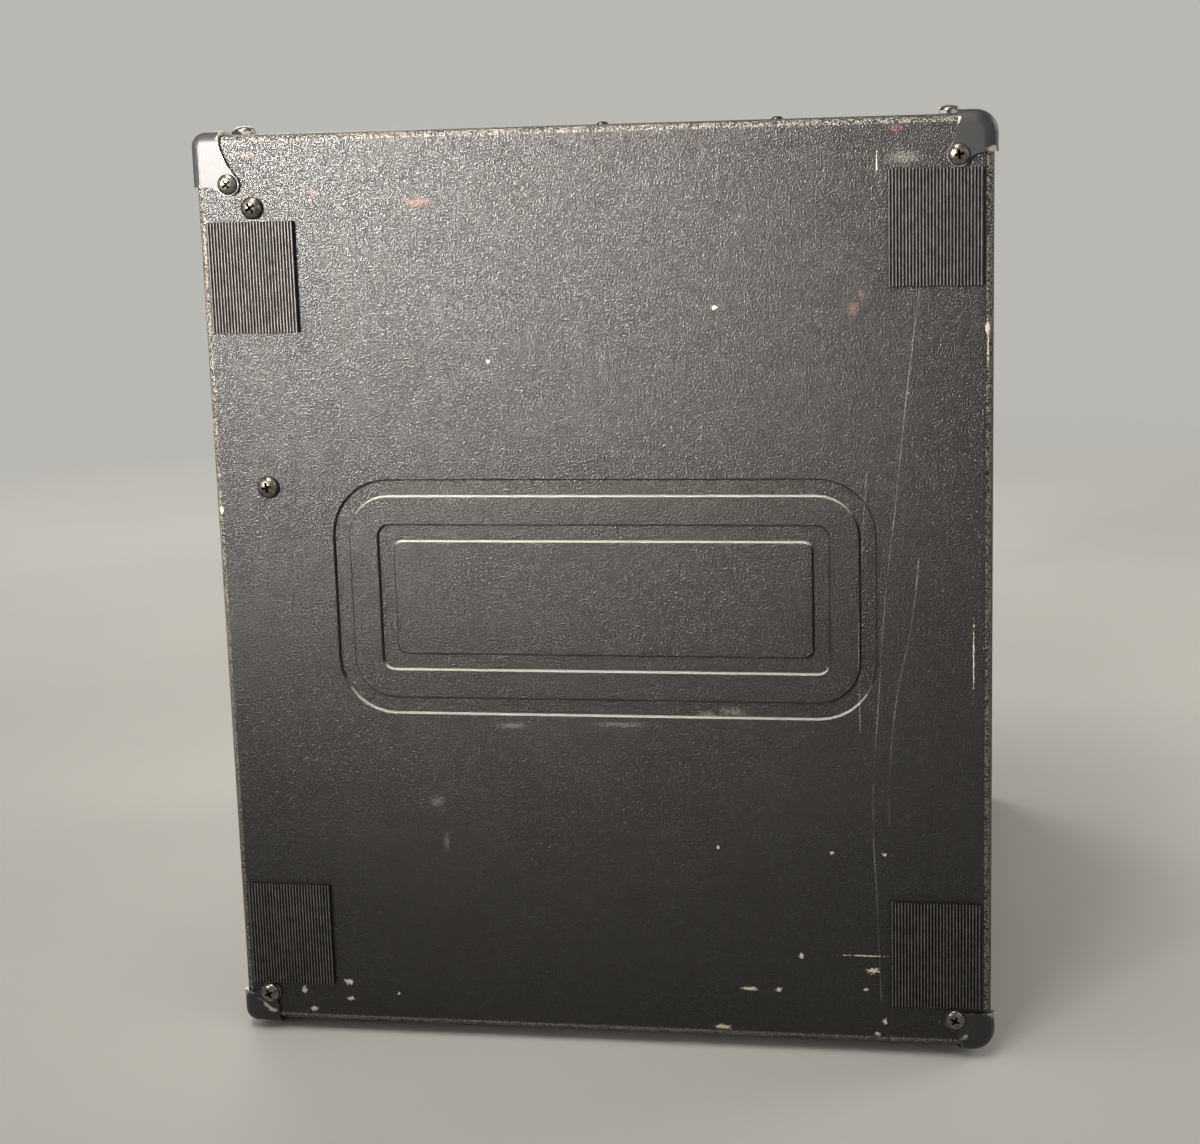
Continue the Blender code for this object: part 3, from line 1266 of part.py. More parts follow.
def build_suspension():
    """Half-roll surround glued on the flange, and the corrugated spider on its ledge."""
    place = (0, WOOFER_Y, WOOFER_Z)
    thick = SURROUND_THICKNESS
    inner = CONE_RADIUS + RUNNING_GAP
    outer = BASKET_RADIUS - BASKET_SHEET + 2 * MM
    roll = (outer - inner - thick) / 2
    middle = inner + thick + roll
    base = GAP + thick
    roll_outside = arc((middle, base), roll + thick / 2, 180, 0, 5)
    roll_inside = arc((middle, base), roll - thick / 2, 0, 180, 5)
    edge = WOOFER_FLANGE_RADIUS - 4 * MM  # the rubber stops short of the flange's edge
    profile = [
        (inner, -LIP_HEIGHT),
        *roll_outside,
        (edge, base),
        (edge, GAP),
        (outer, GAP),
        *roll_inside,
        (inner + thick, -LIP_HEIGHT),
    ]
    turned("woofer_surround", profile, place, "black_rubber", FORWARDS, BIG_TURN)
    front = -BASKET_LEDGE + GAP + SPIDER_THICKNESS
    start = COIL_RADIUS + RUNNING_GAP
    end = POT_RADIUS - BASKET_SHEET - 2 * MM
    pitch = (end - start) / (4 * SPIDER_WAVES)
    upper = [
        (start + pitch * step, front + SPIDER_WAVE_HEIGHT * math.sin(math.pi * step / 2))
        for step in range(4 * SPIDER_WAVES + 1)
    ] + [((POT_RADIUS + LEDGE_RADIUS - BASKET_SHEET) / 2, front)]
    lower = [(radius, height - SPIDER_THICKNESS) for radius, height in reversed(upper)]
    turned("woofer_spider", upper + lower, place, "spider_cloth", FORWARDS)


def build_lead():
    """Twin wire from the power board's connector to the loudspeaker's terminal."""
    terminal = Vector((
        0,
        WOOFER_Y + TERMINAL_DEPTH + TERMINAL_LENGTH / 2 + GAP,
        WOOFER_Z + terminal_rise() + TERMINAL_HEIGHT / 2,
    ))
    across, along, length, width, height = PLUG_BLOCK
    plug = Vector((
        POWER_BOARD_LEFT + across + length / 2,
        POWER_BOARD_FRONT + along + width / 2,
        POWER_BOARD_TOP + height + GAP,
    ))
    start = terminal + BACKWARDS * LEAD_STRAIGHT
    bend = plug + UPWARDS * (LEAD_RISE + LEAD_STRAIGHT) + FORWARDS * LEAD_STRAIGHT / 2
    between = [start.lerp(bend, share) for share in (0.25, 0.5, 0.75)]
    route = [terminal, start, *between, bend, plug + UPWARDS * LEAD_RISE, plug]
    curve = bpy.data.curves.new("speaker_lead", "CURVE")
    curve.dimensions = "3D"
    curve.bevel_depth = LEAD_RADIUS
    curve.bevel_resolution = 2
    curve.use_fill_caps = True
    spline = curve.splines.new("POLY")
    smooth = smooth_route(route, 3)
    spline.points.add(len(smooth) - 1)
    for point, place in zip(spline.points, smooth):
        point.co = (*place, 1)
    lead = bpy.data.objects.new("speaker_lead", curve)
    curve.materials.append(finish("black_rubber"))
    bpy.data.collections["bass_combo_amplifier"].objects.link(lead)


def smooth_route(points, steps):
    """Catmull-Rom curve through the points of a route."""
    padded = [points[0] * 2 - points[1], *points, points[-1] * 2 - points[-2]]
    smooth = []
    for a, b, c, d in zip(padded, padded[1:], padded[2:], padded[3:]):
        for step in range(steps):
            t = step / steps
            smooth.append(
                0.5 * (2 * b + (c - a) * t + (2 * a - 5 * b + 4 * c - d) * t**2 + (3 * b - a - 3 * c + d) * t**3)
            )
    return smooth + [points[-1]]


def shade(angle=35):
    for obj in bpy.data.collections["bass_combo_amplifier"].objects:
        if obj.type == "MESH":
            obj.data.shade_smooth()
            obj.data.set_sharp_from_angle(angle=math.radians(angle))


clear_scene()
build_cabinet()
build_baffle()
build_grille()
build_protectors()
build_pads()
build_chassis_screws()
build_chassis()
build_back()
build_panel()
build_knobs()
build_buttons()
build_sockets()
build_inlet()
build_fan()
build_boards()
build_handle()
build_basket()
build_motor()
build_cone()
build_suspension()
build_lead()
shade()
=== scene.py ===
# %% [markdown]
# # Bass combo amplifier
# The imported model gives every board, socket and joint its place. This script dresses it: finer
# shapes where an eye would look twice, and finishes built from nodes. Each step says what the real
# piece is, how it could be made in Blender, and why it is made the way it is here.

# %% Load the frame
import math

import bmesh
import bpy
from mathutils import Matrix, Vector


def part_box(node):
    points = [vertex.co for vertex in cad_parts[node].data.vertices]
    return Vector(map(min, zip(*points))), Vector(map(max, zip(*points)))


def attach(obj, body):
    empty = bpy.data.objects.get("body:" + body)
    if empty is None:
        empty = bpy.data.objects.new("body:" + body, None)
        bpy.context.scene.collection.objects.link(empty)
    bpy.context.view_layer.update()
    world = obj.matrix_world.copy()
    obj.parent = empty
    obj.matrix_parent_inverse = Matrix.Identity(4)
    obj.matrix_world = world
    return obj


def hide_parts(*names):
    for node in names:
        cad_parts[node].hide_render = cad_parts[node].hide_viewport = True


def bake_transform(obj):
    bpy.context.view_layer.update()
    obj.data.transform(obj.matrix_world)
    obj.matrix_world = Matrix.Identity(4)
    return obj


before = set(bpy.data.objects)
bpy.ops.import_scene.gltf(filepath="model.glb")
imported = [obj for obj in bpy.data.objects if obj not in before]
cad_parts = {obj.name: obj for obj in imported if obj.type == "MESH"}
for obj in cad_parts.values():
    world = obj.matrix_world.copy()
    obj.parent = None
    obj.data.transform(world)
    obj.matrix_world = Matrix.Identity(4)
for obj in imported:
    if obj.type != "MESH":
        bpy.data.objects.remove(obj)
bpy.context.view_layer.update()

# %% [markdown]
# ## Drawing in millimetres
# An amplifier is dimensioned in millimetres, so the shapes are drawn in millimetres and scaled once,
# when a drawing becomes an object. The object itself stays at the origin, unturned and unscaled, with
# its place in its mesh. It then rides on the body that carries it.

# %% Turn a drawing into a piece
MM = 0.001
LEFT, RIGHT = -200.0, 200.0
FRONT, REAR = -175.0, 175.0
BOTTOM, TOP = 5.3, 419.3
BOARD = 15.0
GAP = 0.3
CHASSIS_SCREW_Y, CHASSIS_SCREW_LEVELS = 149.3, {"upper": 387.3, "lower": 262.3}
PORT_X, PORT_Z = 110.0, 77.3
REAR_PLATE = 163.0
UP, BACK, FORTH = Vector((0, 0, 1)), Vector((0, 1, 0)), Vector((0, -1, 0))
SIGNS = {"left": -1, "right": 1, "front": -1, "rear": 1, "bottom": -1, "top": 1}


def piece(name, drawing, finish, body="cabinet", stands_for=(), smooth=35):
    """Scale a drawing to metres, give it a finish and let it ride on a body.

    Edges where the surface turns by less than an angle in degrees are shaded smooth. Weighted normals
    then lean a rounded edge's shading to the large faces beside it, so that a flat looks flat.
    """
    bmesh.ops.recalc_face_normals(drawing, faces=drawing.faces)
    bmesh.ops.scale(drawing, vec=(MM, MM, MM), verts=drawing.verts)
    mesh = bpy.data.meshes.new(name)
    drawing.to_mesh(mesh)
    drawing.free()
    mesh.materials.append(finish)
    mesh.shade_smooth()
    mesh.set_sharp_from_angle(angle=math.radians(smooth))
    made = bpy.data.objects.new(name, mesh)
    bpy.context.scene.collection.objects.link(made)
    if body:
        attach(made, body)
        level = made.modifiers.new("flat_faces_look_flat", "WEIGHTED_NORMAL")
        level.keep_sharp = True
    if stands_for:
        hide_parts(*stands_for)
    return made


# %% [markdown]
# ## The basic shapes
# Most of an amplifier is sheet, board and turned parts. A block is a cube with its edges bevelled, a
# plate is an outline pulled to a thickness, and a turned part is a profile spun about its axis. A
# Boolean could make everything, but bevels and spins keep the faces tidy, so Booleans are kept for
# holes that cross a curved surface.

# %% Blocks, plates, drums and turned parts
ACROSS = Vector((1, 0, 0))
AXES = {"XY": (ACROSS, BACK, UP), "YZ": (BACK, UP, ACROSS), "XZ": (ACROSS, UP, BACK)}


def block(drawing, low, high, edge=0.0, segments=2):
    """A box between two corners, with all its edges rounded where an edge radius is given."""
    low, high = Vector(low), Vector(high)
    place = Matrix.LocRotScale((low + high) / 2, None, high - low)
    verts = bmesh.ops.create_cube(drawing, size=1, matrix=place)["verts"]
    if edge:
        edges = list({e for v in verts for e in v.link_edges})
        bmesh.ops.bevel(drawing, geom=edges, offset=edge, segments=segments, profile=0.5,
                        affect="EDGES", material=-1, clamp_overlap=True)


def plate(drawing, outline, plane, low, high):
    """An outline pulled from a low to a high level along its plane's own thickness direction."""
    across, along, through = AXES[plane]
    verts = [drawing.verts.new(across * a + along * b + through * low) for a, b in outline]
    face = drawing.faces.new(verts)
    pulled = bmesh.ops.extrude_face_region(drawing, geom=[face])["geom"]
    moved = [item for item in pulled if isinstance(item, bmesh.types.BMVert)]
    bmesh.ops.translate(drawing, verts=moved, vec=through * (high - low))


def drum(drawing, start, end, radius, sides=32):
    """A round rod between two places."""
    start, end = Vector(start), Vector(end)
    place = Matrix.LocRotScale((start + end) / 2, UP.rotation_difference(end - start), None)
    bmesh.ops.create_cone(drawing, cap_ends=True, segments=sides, radius1=radius, radius2=radius,
                          depth=(end - start).length, matrix=place)


def facing(place, direction):
    """The matrix that puts a part drawn along +Z at a place, looking in a direction."""
    return Matrix.LocRotScale(Vector(place), Vector(direction).to_track_quat("Z", "Y"), None)


def turned(drawing, profile, place, direction=UP, steps=48, angle=360):
    """A profile of (radius, level) points spun round the axis through a place."""
    part = bmesh.new()
    verts = [part.verts.new((radius, 0, level)) for radius, level in profile]
    edges = [part.edges.new(pair) for pair in zip(verts, verts[1:])]
    bmesh.ops.spin(part, geom=verts + edges, cent=(0, 0, 0), axis=(0, 0, 1), steps=steps,
                   angle=math.radians(angle), use_merge=angle == 360)
    bmesh.ops.remove_doubles(part, verts=part.verts, dist=1e-4)
    bmesh.ops.transform(part, matrix=facing(place, direction), verts=part.verts)
    drawing.from_mesh(mesh_of(part))


def mesh_of(drawing):
    """A drawing turned to a mesh that can be stamped many times."""
    mesh = bpy.data.meshes.new("unit")
    drawing.to_mesh(mesh)
    drawing.free()
    return mesh


def stamped(mesh, poses):
    """A new drawing with one copy of a mesh at each pose."""
    drawing = bmesh.new()
    for pose in poses:
        known = len(drawing.verts)
        drawing.from_mesh(mesh)
        drawing.verts.ensure_lookup_table()
        bmesh.ops.transform(drawing, matrix=pose, verts=drawing.verts[known:])
    return drawing


def hoop(drawing, rings, capped=False):
    """Loops of points bridged one after the other, then round to the first or capped at both ends."""
    loops = []
    for number, ring in enumerate(rings):
        verts = [drawing.verts.new(point) for point in ring]
        loops.append([drawing.edges.new(pair) for pair in zip(verts, verts[1:] + verts[:1])])
        if capped and number in (0, len(rings) - 1):
            drawing.faces.new(verts)
    for first, second in zip(loops, loops[1:] if capped else loops[1:] + loops[:1]):
        bmesh.ops.bridge_loops(drawing, edges=first + second)


def arc(centre, radius, start, end, segments=6):
    """Points along an arc, from a start to an end angle in degrees."""
    angles = [math.radians(start + (end - start) * n / segments) for n in range(segments + 1)]
    return [(centre[0] + radius * math.cos(a), centre[1] + radius * math.sin(a)) for a in angles]


def rounded(low, high, radii, segments=8):
    """A rectangle with rounded corners: one radius, or one for each of its four corners."""
    radii = radii if isinstance(radii, tuple) else (radii,) * 4
    outline = []
    corners = zip(radii, ((0, 0), (1, 0), (1, 1), (0, 1)), (180, 270, 0, 90))
    for radius, (right, top), start in corners:
        across = high[0] - radius if right else low[0] + radius
        along = high[1] - radius if top else low[1] + radius
        outline += arc((across, along), radius, start, start + 90, segments)
    return outline


# %% [markdown]
# ## Cutting one drawing with another
# A router or a punch takes material away where the tool passes. Blender's exact Boolean does the same.
# It works on objects, so the drawings become objects for a moment and are removed again.

# %% Cut, join or cross drawings
def carve(target, *tools, operation="DIFFERENCE"):
    """Run exact Booleans on a drawing and return the result as a new one."""
    made = []
    for drawing in (target, *tools):
        bmesh.ops.recalc_face_normals(drawing, faces=drawing.faces)
        mesh = bpy.data.meshes.new("drawing")
        drawing.to_mesh(mesh)
        drawing.free()
        made.append(bpy.data.objects.new("drawing", mesh))
        bpy.context.scene.collection.objects.link(made[-1])
    for tool in made[1:]:
        modifier = made[0].modifiers.new("tool", "BOOLEAN")
        modifier.operation = operation
        modifier.solver = "EXACT"
        modifier.object = tool
    changed = made[0].evaluated_get(bpy.context.evaluated_depsgraph_get())
    result = bmesh.new()
    result.from_mesh(changed.to_mesh())
    changed.to_mesh_clear()
    for obj in made:
        mesh = obj.data
        bpy.data.objects.remove(obj)
        bpy.data.meshes.remove(mesh)
    return result


def soften(drawing, width, angle=40, segments=3):
    """Round every edge sharper than an angle, as paint, pressing or wear does."""
    edges = [e for e in drawing.edges if e.is_manifold and e.calc_face_angle() > math.radians(angle)]
    bmesh.ops.bevel(drawing, geom=edges, offset=width, segments=segments, profile=0.5,
                    affect="EDGES", material=-1, clamp_overlap=True)


# %% [markdown]
# ## Colours and nodes
# A colour is written as it would be picked on a screen, and one function turns it to the linear
# values that a shader reckons with. One more function adds a node with its settings and its links. An
# input is fed with a value, a colour code, a socket or a whole node. A whole node stands for its first
# live output, which is the one that its settings leave in use.

# %% Colour and node helpers
def colour(code):
    """The linear RGBA of an sRGB hex code."""
    parts = [int(code[n:n + 2], 16) / 255 for n in (1, 3, 5)]
    return (*[p / 12.92 if p <= 0.04045 else ((p + 0.055) / 1.055) ** 2.4 for p in parts], 1.0)


def feed(node, inputs):
    """Give a node's inputs their values, colours or links."""
    for name, value in inputs.items():
        if isinstance(value, bpy.types.Node):
            value = next(output for output in value.outputs if output.enabled)
        if isinstance(value, bpy.types.NodeSocket):
            node.id_data.links.new(value, node.inputs[name])
        else:
            node.inputs[name].default_value = colour(value) if isinstance(value, str) else value


def add(material, kind, inputs=None, stops=(), **settings):
    """Add a node with settings, with its inputs, and with colour stops for a ramp."""
    made = material.node_tree.nodes.new(f"ShaderNode{kind}")
    for name, value in settings.items():
        setattr(made, name, value)
    feed(made, inputs or {})
    for number, (place, code) in enumerate(stops):
        stop = made.color_ramp.elements[number]
        stop.position, stop.color = place, colour(code)
    return made


def new_finish(name, base, roughness, metallic=0.0, **shader_values):
    """A material with one Principled shader, and its Object coordinates for patterns."""
    made = bpy.data.materials.new(name)
    made.use_nodes = True
    shader = made.node_tree.nodes["Principled BSDF"]
    feed(shader, {"Base Color": base, "Roughness": roughness, "Metallic": metallic})
    feed(shader, {socket.replace("_", " "): value for socket, value in shader_values.items()})
    return made, shader, add(made, "TexCoord").outputs["Object"]


# %% [markdown]
# ## Spatter coat
# The cabinet is plywood with a sprayed, textured polyurethane coat. It dries in small satin pebbles
# with pits between them. One noise gives the pebbles, and a coarser one makes some stand higher
# than others. Together they drive the bump, the gloss and the colour, which is painted darker in the
# pits as painted shade, so a low lamp picks out every pebble.

# %% Pebbles and pits
spatter, coat_shader, where = new_finish("sprayed_spatter_coat", "#141312", 0.42, Specular_IOR_Level=0.4)
pebbles = add(spatter, "TexNoise", {"Vector": where, "Scale": 1350.0, "Detail": 1.0})
swells = add(spatter, "TexNoise", {"Vector": where, "Scale": 520.0, "Detail": 1.0})
height = add(spatter, "Math", {0: swells, 1: 0.3, 2: pebbles}, operation="MULTIPLY_ADD")
shaped = add(spatter, "MapRange", {"Value": height, "From Min": 0.46, "From Max": 0.80})
haze = add(spatter, "TexNoise", {"Vector": where, "Scale": 9.0, "Detail": 4.0})
# The colour follows the height, so the pits are painted near black: painted shade between the pebbles
tone = add(spatter, "ValToRGB", {"Fac": shaped}, [(0.3, "#030303"), (0.75, "#24211f")])
hazy = add(spatter, "MapRange", {"Value": haze, "From Min": 0.45, "From Max": 0.75, "To Max": 0.12})
coat = add(spatter, "Mix", {0: hazy, 6: tone, 7: "#33302c"}, data_type="RGBA")
gloss = add(spatter, "MapRange",
            {"Value": shaped, "From Min": 0.2, "From Max": 0.6, "To Min": 0.64, "To Max": 0.25})
feed(coat_shader, {"Normal": add(spatter, "Bump", {"Height": shaped, "Distance": 0.15 * MM})})

# %% [markdown]
# ## Wear on the left side
# The side in the photograph has been knocked and dragged: pale chips near the bottom, reddish scuffs
# near the top, long thin scratches near the front edge and chalky smudges below the routed frames. Each
# chip or scuff is a distance from a point, stretched to the mark's size, with noise added so that its
# edge is ragged. A long scratch compares a point's place with a curve along the height.

# %% Places in millimetres, and what lies on the left side
spot_mm = add(spatter, "VectorMath", {0: where, 1: (1000.0, 1000.0, 1000.0)}, operation="MULTIPLY")
axes = add(spatter, "SeparateXYZ", {0: spot_mm}).outputs
on_left = add(spatter, "Math", {0: axes["X"], 1: LEFT + 4.5}, operation="LESS_THAN")
ragged = add(spatter, "TexNoise", {"Vector": where, "Scale": 900.0, "Detail": 3.0, "Roughness": 0.7})
ragged = add(spatter, "MapRange", {"Value": ragged, "From Min": 0.3, "From Max": 0.7,
                                   "To Min": -0.7, "To Max": 0.7}, clamp=False)


def marks(spots, core):
    """A mask of ragged spots, full within the core: each has its place, and half its width and height."""
    nearest = None
    for along, up, half_along, half_up in spots:
        scale = Vector((0.0, 1 / half_along, 1 / half_up))
        near = add(spatter, "Mapping",
                   {"Vector": spot_mm, "Scale": scale, "Location": -scale * Vector((0, along, up))})
        near = add(spatter, "VectorMath", {0: near}, operation="LENGTH")
        if nearest:
            near = add(spatter, "Math", {0: near, 1: nearest}, operation="MINIMUM")
        nearest = near
    torn = add(spatter, "Math", {0: nearest, 1: ragged}, operation="ADD")
    inside = add(spatter, "MapRange", {"Value": torn, "From Min": 1.0, "From Max": core})
    return add(spatter, "Math", {0: inside, 1: on_left}, operation="MULTIPLY")


def rubbed(mask, strength, code):
    """The coat with a tone laid over it where a mask is, at a strength, for wear and for painted light and
    shade.
    """
    share = add(spatter, "Math", {0: mask, 1: strength}, operation="MULTIPLY")
    return add(spatter, "Mix", {0: share, 6: coat, 7: code}, data_type="RGBA")


# %% Chips, scuffs and smudges
CHIPS = ((146.1, 20.9, 1.2, 1.8), (123.9, 25.7, 2.4, 1.3), (123.4, 17.3, 1.9, 0.9),
         (141.8, 11.6, 1.6, 1.1), (100.0, 20.7, 0.8, 0.7), (-66.1, 29.7, 3.6, 0.9),
         (-79.5, 29.7, 1.6, 0.9), (-53.7, 10.8, 3.6, 1.1), (-124.4, 10.4, 1.4, 0.8),
         (-127.7, 16.3, 1.0, 1.3), (-122.5, 40.4, 2.6, 1.4), (-119.2, 31.2, 1.2, 0.8),
         (-168.9, 46.0, 0.8, 1.6), (-53.0, 96.8, 0.8, 0.8), (-104.3, 95.5, 0.9, 0.9),
         (-127.7, 95.3, 1.0, 0.8), (172.4, 251.9, 1.0, 1.8), (-56.0, 340.1, 1.0, 1.0),
         (-172.5, 330.0, 1.0, 3.0), (45.0, 318.0, 0.9, 0.9), (-119.0, 47.4, 9.0, 0.35),
         (-90.0, 46.5, 1.0, 1.4))
RED_SCUFFS = ((74.0, 388.1, 7.0, 2.2), (151.3, 410.3, 4.5, 1.5), (-133.9, 414.0, 3.5, 1.6),
              (-115.4, 338.8, 2.6, 4.0), (121.0, 393.0, 2.4, 1.6), (-119.0, 345.0, 1.6, 2.6))
SMUDGES = ((-60.5, 159.9, 7.0, 2.6), (-49.1, 158.3, 5.0, 2.0), (77.2, 115.5, 4.0, 3.0),
           (73.4, 96.5, 1.6, 5.0), (-137.0, 402.0, 9.0, 3.5), (40.0, 152.0, 9.0, 1.8),
           (-10.0, 153.5, 14.0, 1.4))
SLITS = ((-126.0, 400.5, 0.3, 4.5), (-166.9, 185.0, 0.3, 15.0), (-172.6, 322.0, 0.35, 9.0))
for spots, core, strength, tone in ((SMUDGES, 0.1, 0.3, "#8f8b84"), (RED_SCUFFS, 0.2, 0.4, "#80594c"),
                                    (CHIPS + SLITS, 0.75, 0.9, "#c9c0ad")):
    coat = rubbed(marks(spots, core), strength, tone)
print("marks on the left side:", len(CHIPS + RED_SCUFFS + SMUDGES + SLITS))

# %% Long scratches
# Each scratch as places along the side at even steps from its lower to its upper end
SCRATCHES = {(26.7, 347.2): (-126.0, -124.4, -122.8, -125.4, -128.5, -133.5, -138.2, -143.8),
             (108.9, 229.9): (-130.0, -130.7, -133.8, -139.8, -143.2),
             (152.0, 268.0): (-117.5, -117.0, -118.4, -121.0)}
broken = add(spatter, "TexNoise", {"Vector": where, "Scale": 45.0, "Detail": 3.0})
broken = add(spatter, "MapRange", {"Value": broken, "From Min": 0.4, "From Max": 0.6, "To Min": 0.15})
for (low, high), places in SCRATCHES.items():
    share = add(spatter, "MapRange", {"Value": axes["Z"], "From Min": low, "From Max": high})
    beyond = add(spatter, "MapRange", {"Value": axes["Z"], "From Min": low, "From Max": high}, clamp=False)
    beyond = add(spatter, "Math", {0: beyond, 1: share}, operation="SUBTRACT")
    beyond = add(spatter, "Math", {0: beyond}, operation="ABSOLUTE")
    line = add(spatter, "FloatCurve", {"Value": share})
    points = line.mapping.curves[0].points
    for number, place in enumerate(places):
        spot = (number / (len(places) - 1), (place + 200) / 200)
        if number in (0, len(places) - 1):
            points[0 if number == 0 else -1].location = spot
        else:
            points.new(*spot)
    line.mapping.update()
    line = add(spatter, "Math", {0: line, 1: 200.0, 2: -200.0}, operation="MULTIPLY_ADD")
    off = add(spatter, "Math", {0: axes["Y"], 1: line}, operation="SUBTRACT")
    off = add(spatter, "Math", {0: off}, operation="ABSOLUTE")
    off = add(spatter, "Math", {0: beyond, 1: 60.0, 2: off}, operation="MULTIPLY_ADD")
    off = add(spatter, "Math", {0: ragged, 1: 0.35, 2: off}, operation="MULTIPLY_ADD")
    thin = add(spatter, "MapRange", {"Value": off, "From Min": 0.32, "From Max": 0.05})
    for mask in (broken, on_left):
        thin = add(spatter, "Math", {0: thin, 1: mask}, operation="MULTIPLY")
    coat = rubbed(thin, 0.5, "#8d8983")

# %% Groove walls: worn and painted lighter where they face up, painted shade where they face down
# Walls near the frames: facing up, worn pale plus a painted highlight; facing down, painted shade
FRAMES_CENTRE, FRAMES_REACH = (-2.5, 211.3), (126, 57)
walls = add(spatter, "NewGeometry").outputs["True Normal"]
walls = add(spatter, "SeparateXYZ", {0: walls}).outputs
facing_up = add(spatter, "MapRange", {"Value": walls["Z"], "From Min": 0.35, "From Max": 0.6})
near = add(spatter, "Mapping", {
    "Vector": spot_mm, "Scale": (0.0, *(1 / reach for reach in FRAMES_REACH)),
    "Location": (0.0, *(-centre / reach for centre, reach in zip(FRAMES_CENTRE, FRAMES_REACH)))})
near = add(spatter, "VectorMath", {0: near}, operation="ABSOLUTE")
near = add(spatter, "SeparateXYZ", {0: near}).outputs
near = add(spatter, "Math", {0: near["Y"], 1: near["Z"]}, operation="MAXIMUM")
near = add(spatter, "Math", {0: near, 1: 1.0}, operation="LESS_THAN")
outside = add(spatter, "Math", {0: axes["X"]}, operation="ABSOLUTE")
outside = add(spatter, "Math", {0: outside, 1: RIGHT - 1.45}, operation="GREATER_THAN")
shoulder = facing_up
for mask in (near, outside):
    shoulder = add(spatter, "Math", {0: shoulder, 1: mask}, operation="MULTIPLY")
# A pale tone on the up-facing walls: wear, and a painted highlight
coat = rubbed(shoulder, 0.75, "#a8a49b")
# The down-facing walls are painted near black: painted shade
facing_down = add(spatter, "MapRange", {"Value": walls["Z"], "From Min": -0.3, "From Max": -0.55})
painted_groove_shade = add(spatter, "Math", {0: facing_down, 1: near}, operation="MULTIPLY")
coat = rubbed(painted_groove_shade, 1.0, "#030303")

# %% Paler rounded edges, from wear and a painted highlight, and bare places along the bottom edge
sideways = add(spatter, "Math", {0: walls["X"]}, operation="ABSOLUTE")
turned_off = add(spatter, "MapRange", {"Value": sideways, "From Min": 0.996, "From Max": 0.96})
still_side = add(spatter, "MapRange", {"Value": sideways, "From Min": 0.4, "From Max": 0.7})
tops = add(spatter, "MapRange", {"Value": shaped, "From Min": 0.5, "From Max": 0.7})
away = add(spatter, "Math", {0: 1.0, 1: near}, operation="SUBTRACT")
edge_wear_and_highlight = turned_off
for mask in (still_side, tops, away):
    edge_wear_and_highlight = add(spatter, "Math", {0: edge_wear_and_highlight, 1: mask}, operation="MULTIPLY")
# The pebble tops on the rounded edges are paler: partly handling wear, partly a painted highlight
coat = rubbed(edge_wear_and_highlight, 0.55, "#8d877c")
edge = add(spatter, "Math", {0: axes["Z"], 1: BOTTOM + 3.2}, operation="SUBTRACT")
edge = add(spatter, "Math", {0: edge}, operation="ABSOLUTE")
edge = add(spatter, "Math", {0: ragged, 1: 1.2, 2: edge}, operation="MULTIPLY_ADD")
edge = add(spatter, "MapRange", {"Value": edge, "From Min": 0.5, "From Max": 0.1})
edge = add(spatter, "Math", {0: edge, 1: on_left}, operation="MULTIPLY")
coat = rubbed(edge, 0.5, "#8b867d")
polished = add(spatter, "Mix", {0: shoulder, 2: gloss, 3: 0.3})
polished = add(spatter, "Mix", {0: painted_groove_shade, 2: polished, 3: 0.9})
feed(coat_shader, {"Base Color": coat, "Roughness": polished})
print("spatter coat:", len(spatter.node_tree.nodes), "nodes")

# %% [markdown]
# ## Black enamel on pressed steel
# The corner protectors are pressed from sheet and enamelled. Their paint is satin, and it is worn
# through to bright steel along the rims. An attribute marks the rims' corners, and noise breaks the
# worn line up.

# %% Black enamel on pressed steel
enamel, shader, where = new_finish("black_enamel_on_pressed_steel", "#161616", 0.46)
uneven = add(enamel, "TexNoise", {"Vector": where, "Scale": 220.0, "Detail": 4.0})
rim = add(enamel, "Attribute", attribute_name="rim").outputs["Fac"]
worn = add(enamel, "Math", {0: rim, 1: uneven}, operation="MULTIPLY")
bare = add(enamel, "MapRange", {"Value": worn, "From Min": 0.40, "From Max": 0.52})
paint = add(enamel, "Mix", {0: bare, 6: "#1a1a1a", 7: "#b9b5ae"}, data_type="RGBA")
orange_peel = add(enamel, "TexNoise", {"Vector": where, "Scale": 900.0, "Detail": 1.0})
relief = add(enamel, "Bump", {"Height": orange_peel, "Strength": 0.25, "Distance": 0.03 * MM})
feed(shader, {"Base Color": paint, "Metallic": bare, "Normal": relief})

# %% [markdown]
# ## Nickel-plated screws
# The screws are nickel-plated steel that has dulled and spotted. Noise varies the gloss, and darker
# tarnish gathers in blotches a few tenths of a millimetre wide. The cross recesses are coloured near black.

# %% Dulled nickel plate
nickel, shader, where = new_finish("dulled_nickel_plate", "#77726b", 0.24, 1.0)
spots = add(nickel, "TexNoise", {"Vector": where, "Scale": 700.0, "Detail": 3.0})
tarnish = add(nickel, "ValToRGB", {"Fac": spots}, [(0.35, "#55504a"), (0.65, "#8a857d")])
gloss = add(nickel, "MapRange", {"Value": spots, "To Min": 0.32, "To Max": 0.2})
recess_darkening = add(nickel, "Attribute", attribute_name="recess_darkening").outputs["Fac"]
# The cross recess is coloured near black
recess_darkened = add(nickel, "Mix", {0: recess_darkening, 6: tarnish, 7: "#0b0a09"}, data_type="RGBA")
feed(shader, {"Base Color": recess_darkened, "Roughness": gloss})

# %% [markdown]
# ## Moulded rubber
# Pads and feet are moulded in black rubber: matt, very dark, with a bloom of pale dust on what stands
# proud. On the rib tips the pale tone is also a painted highlight.

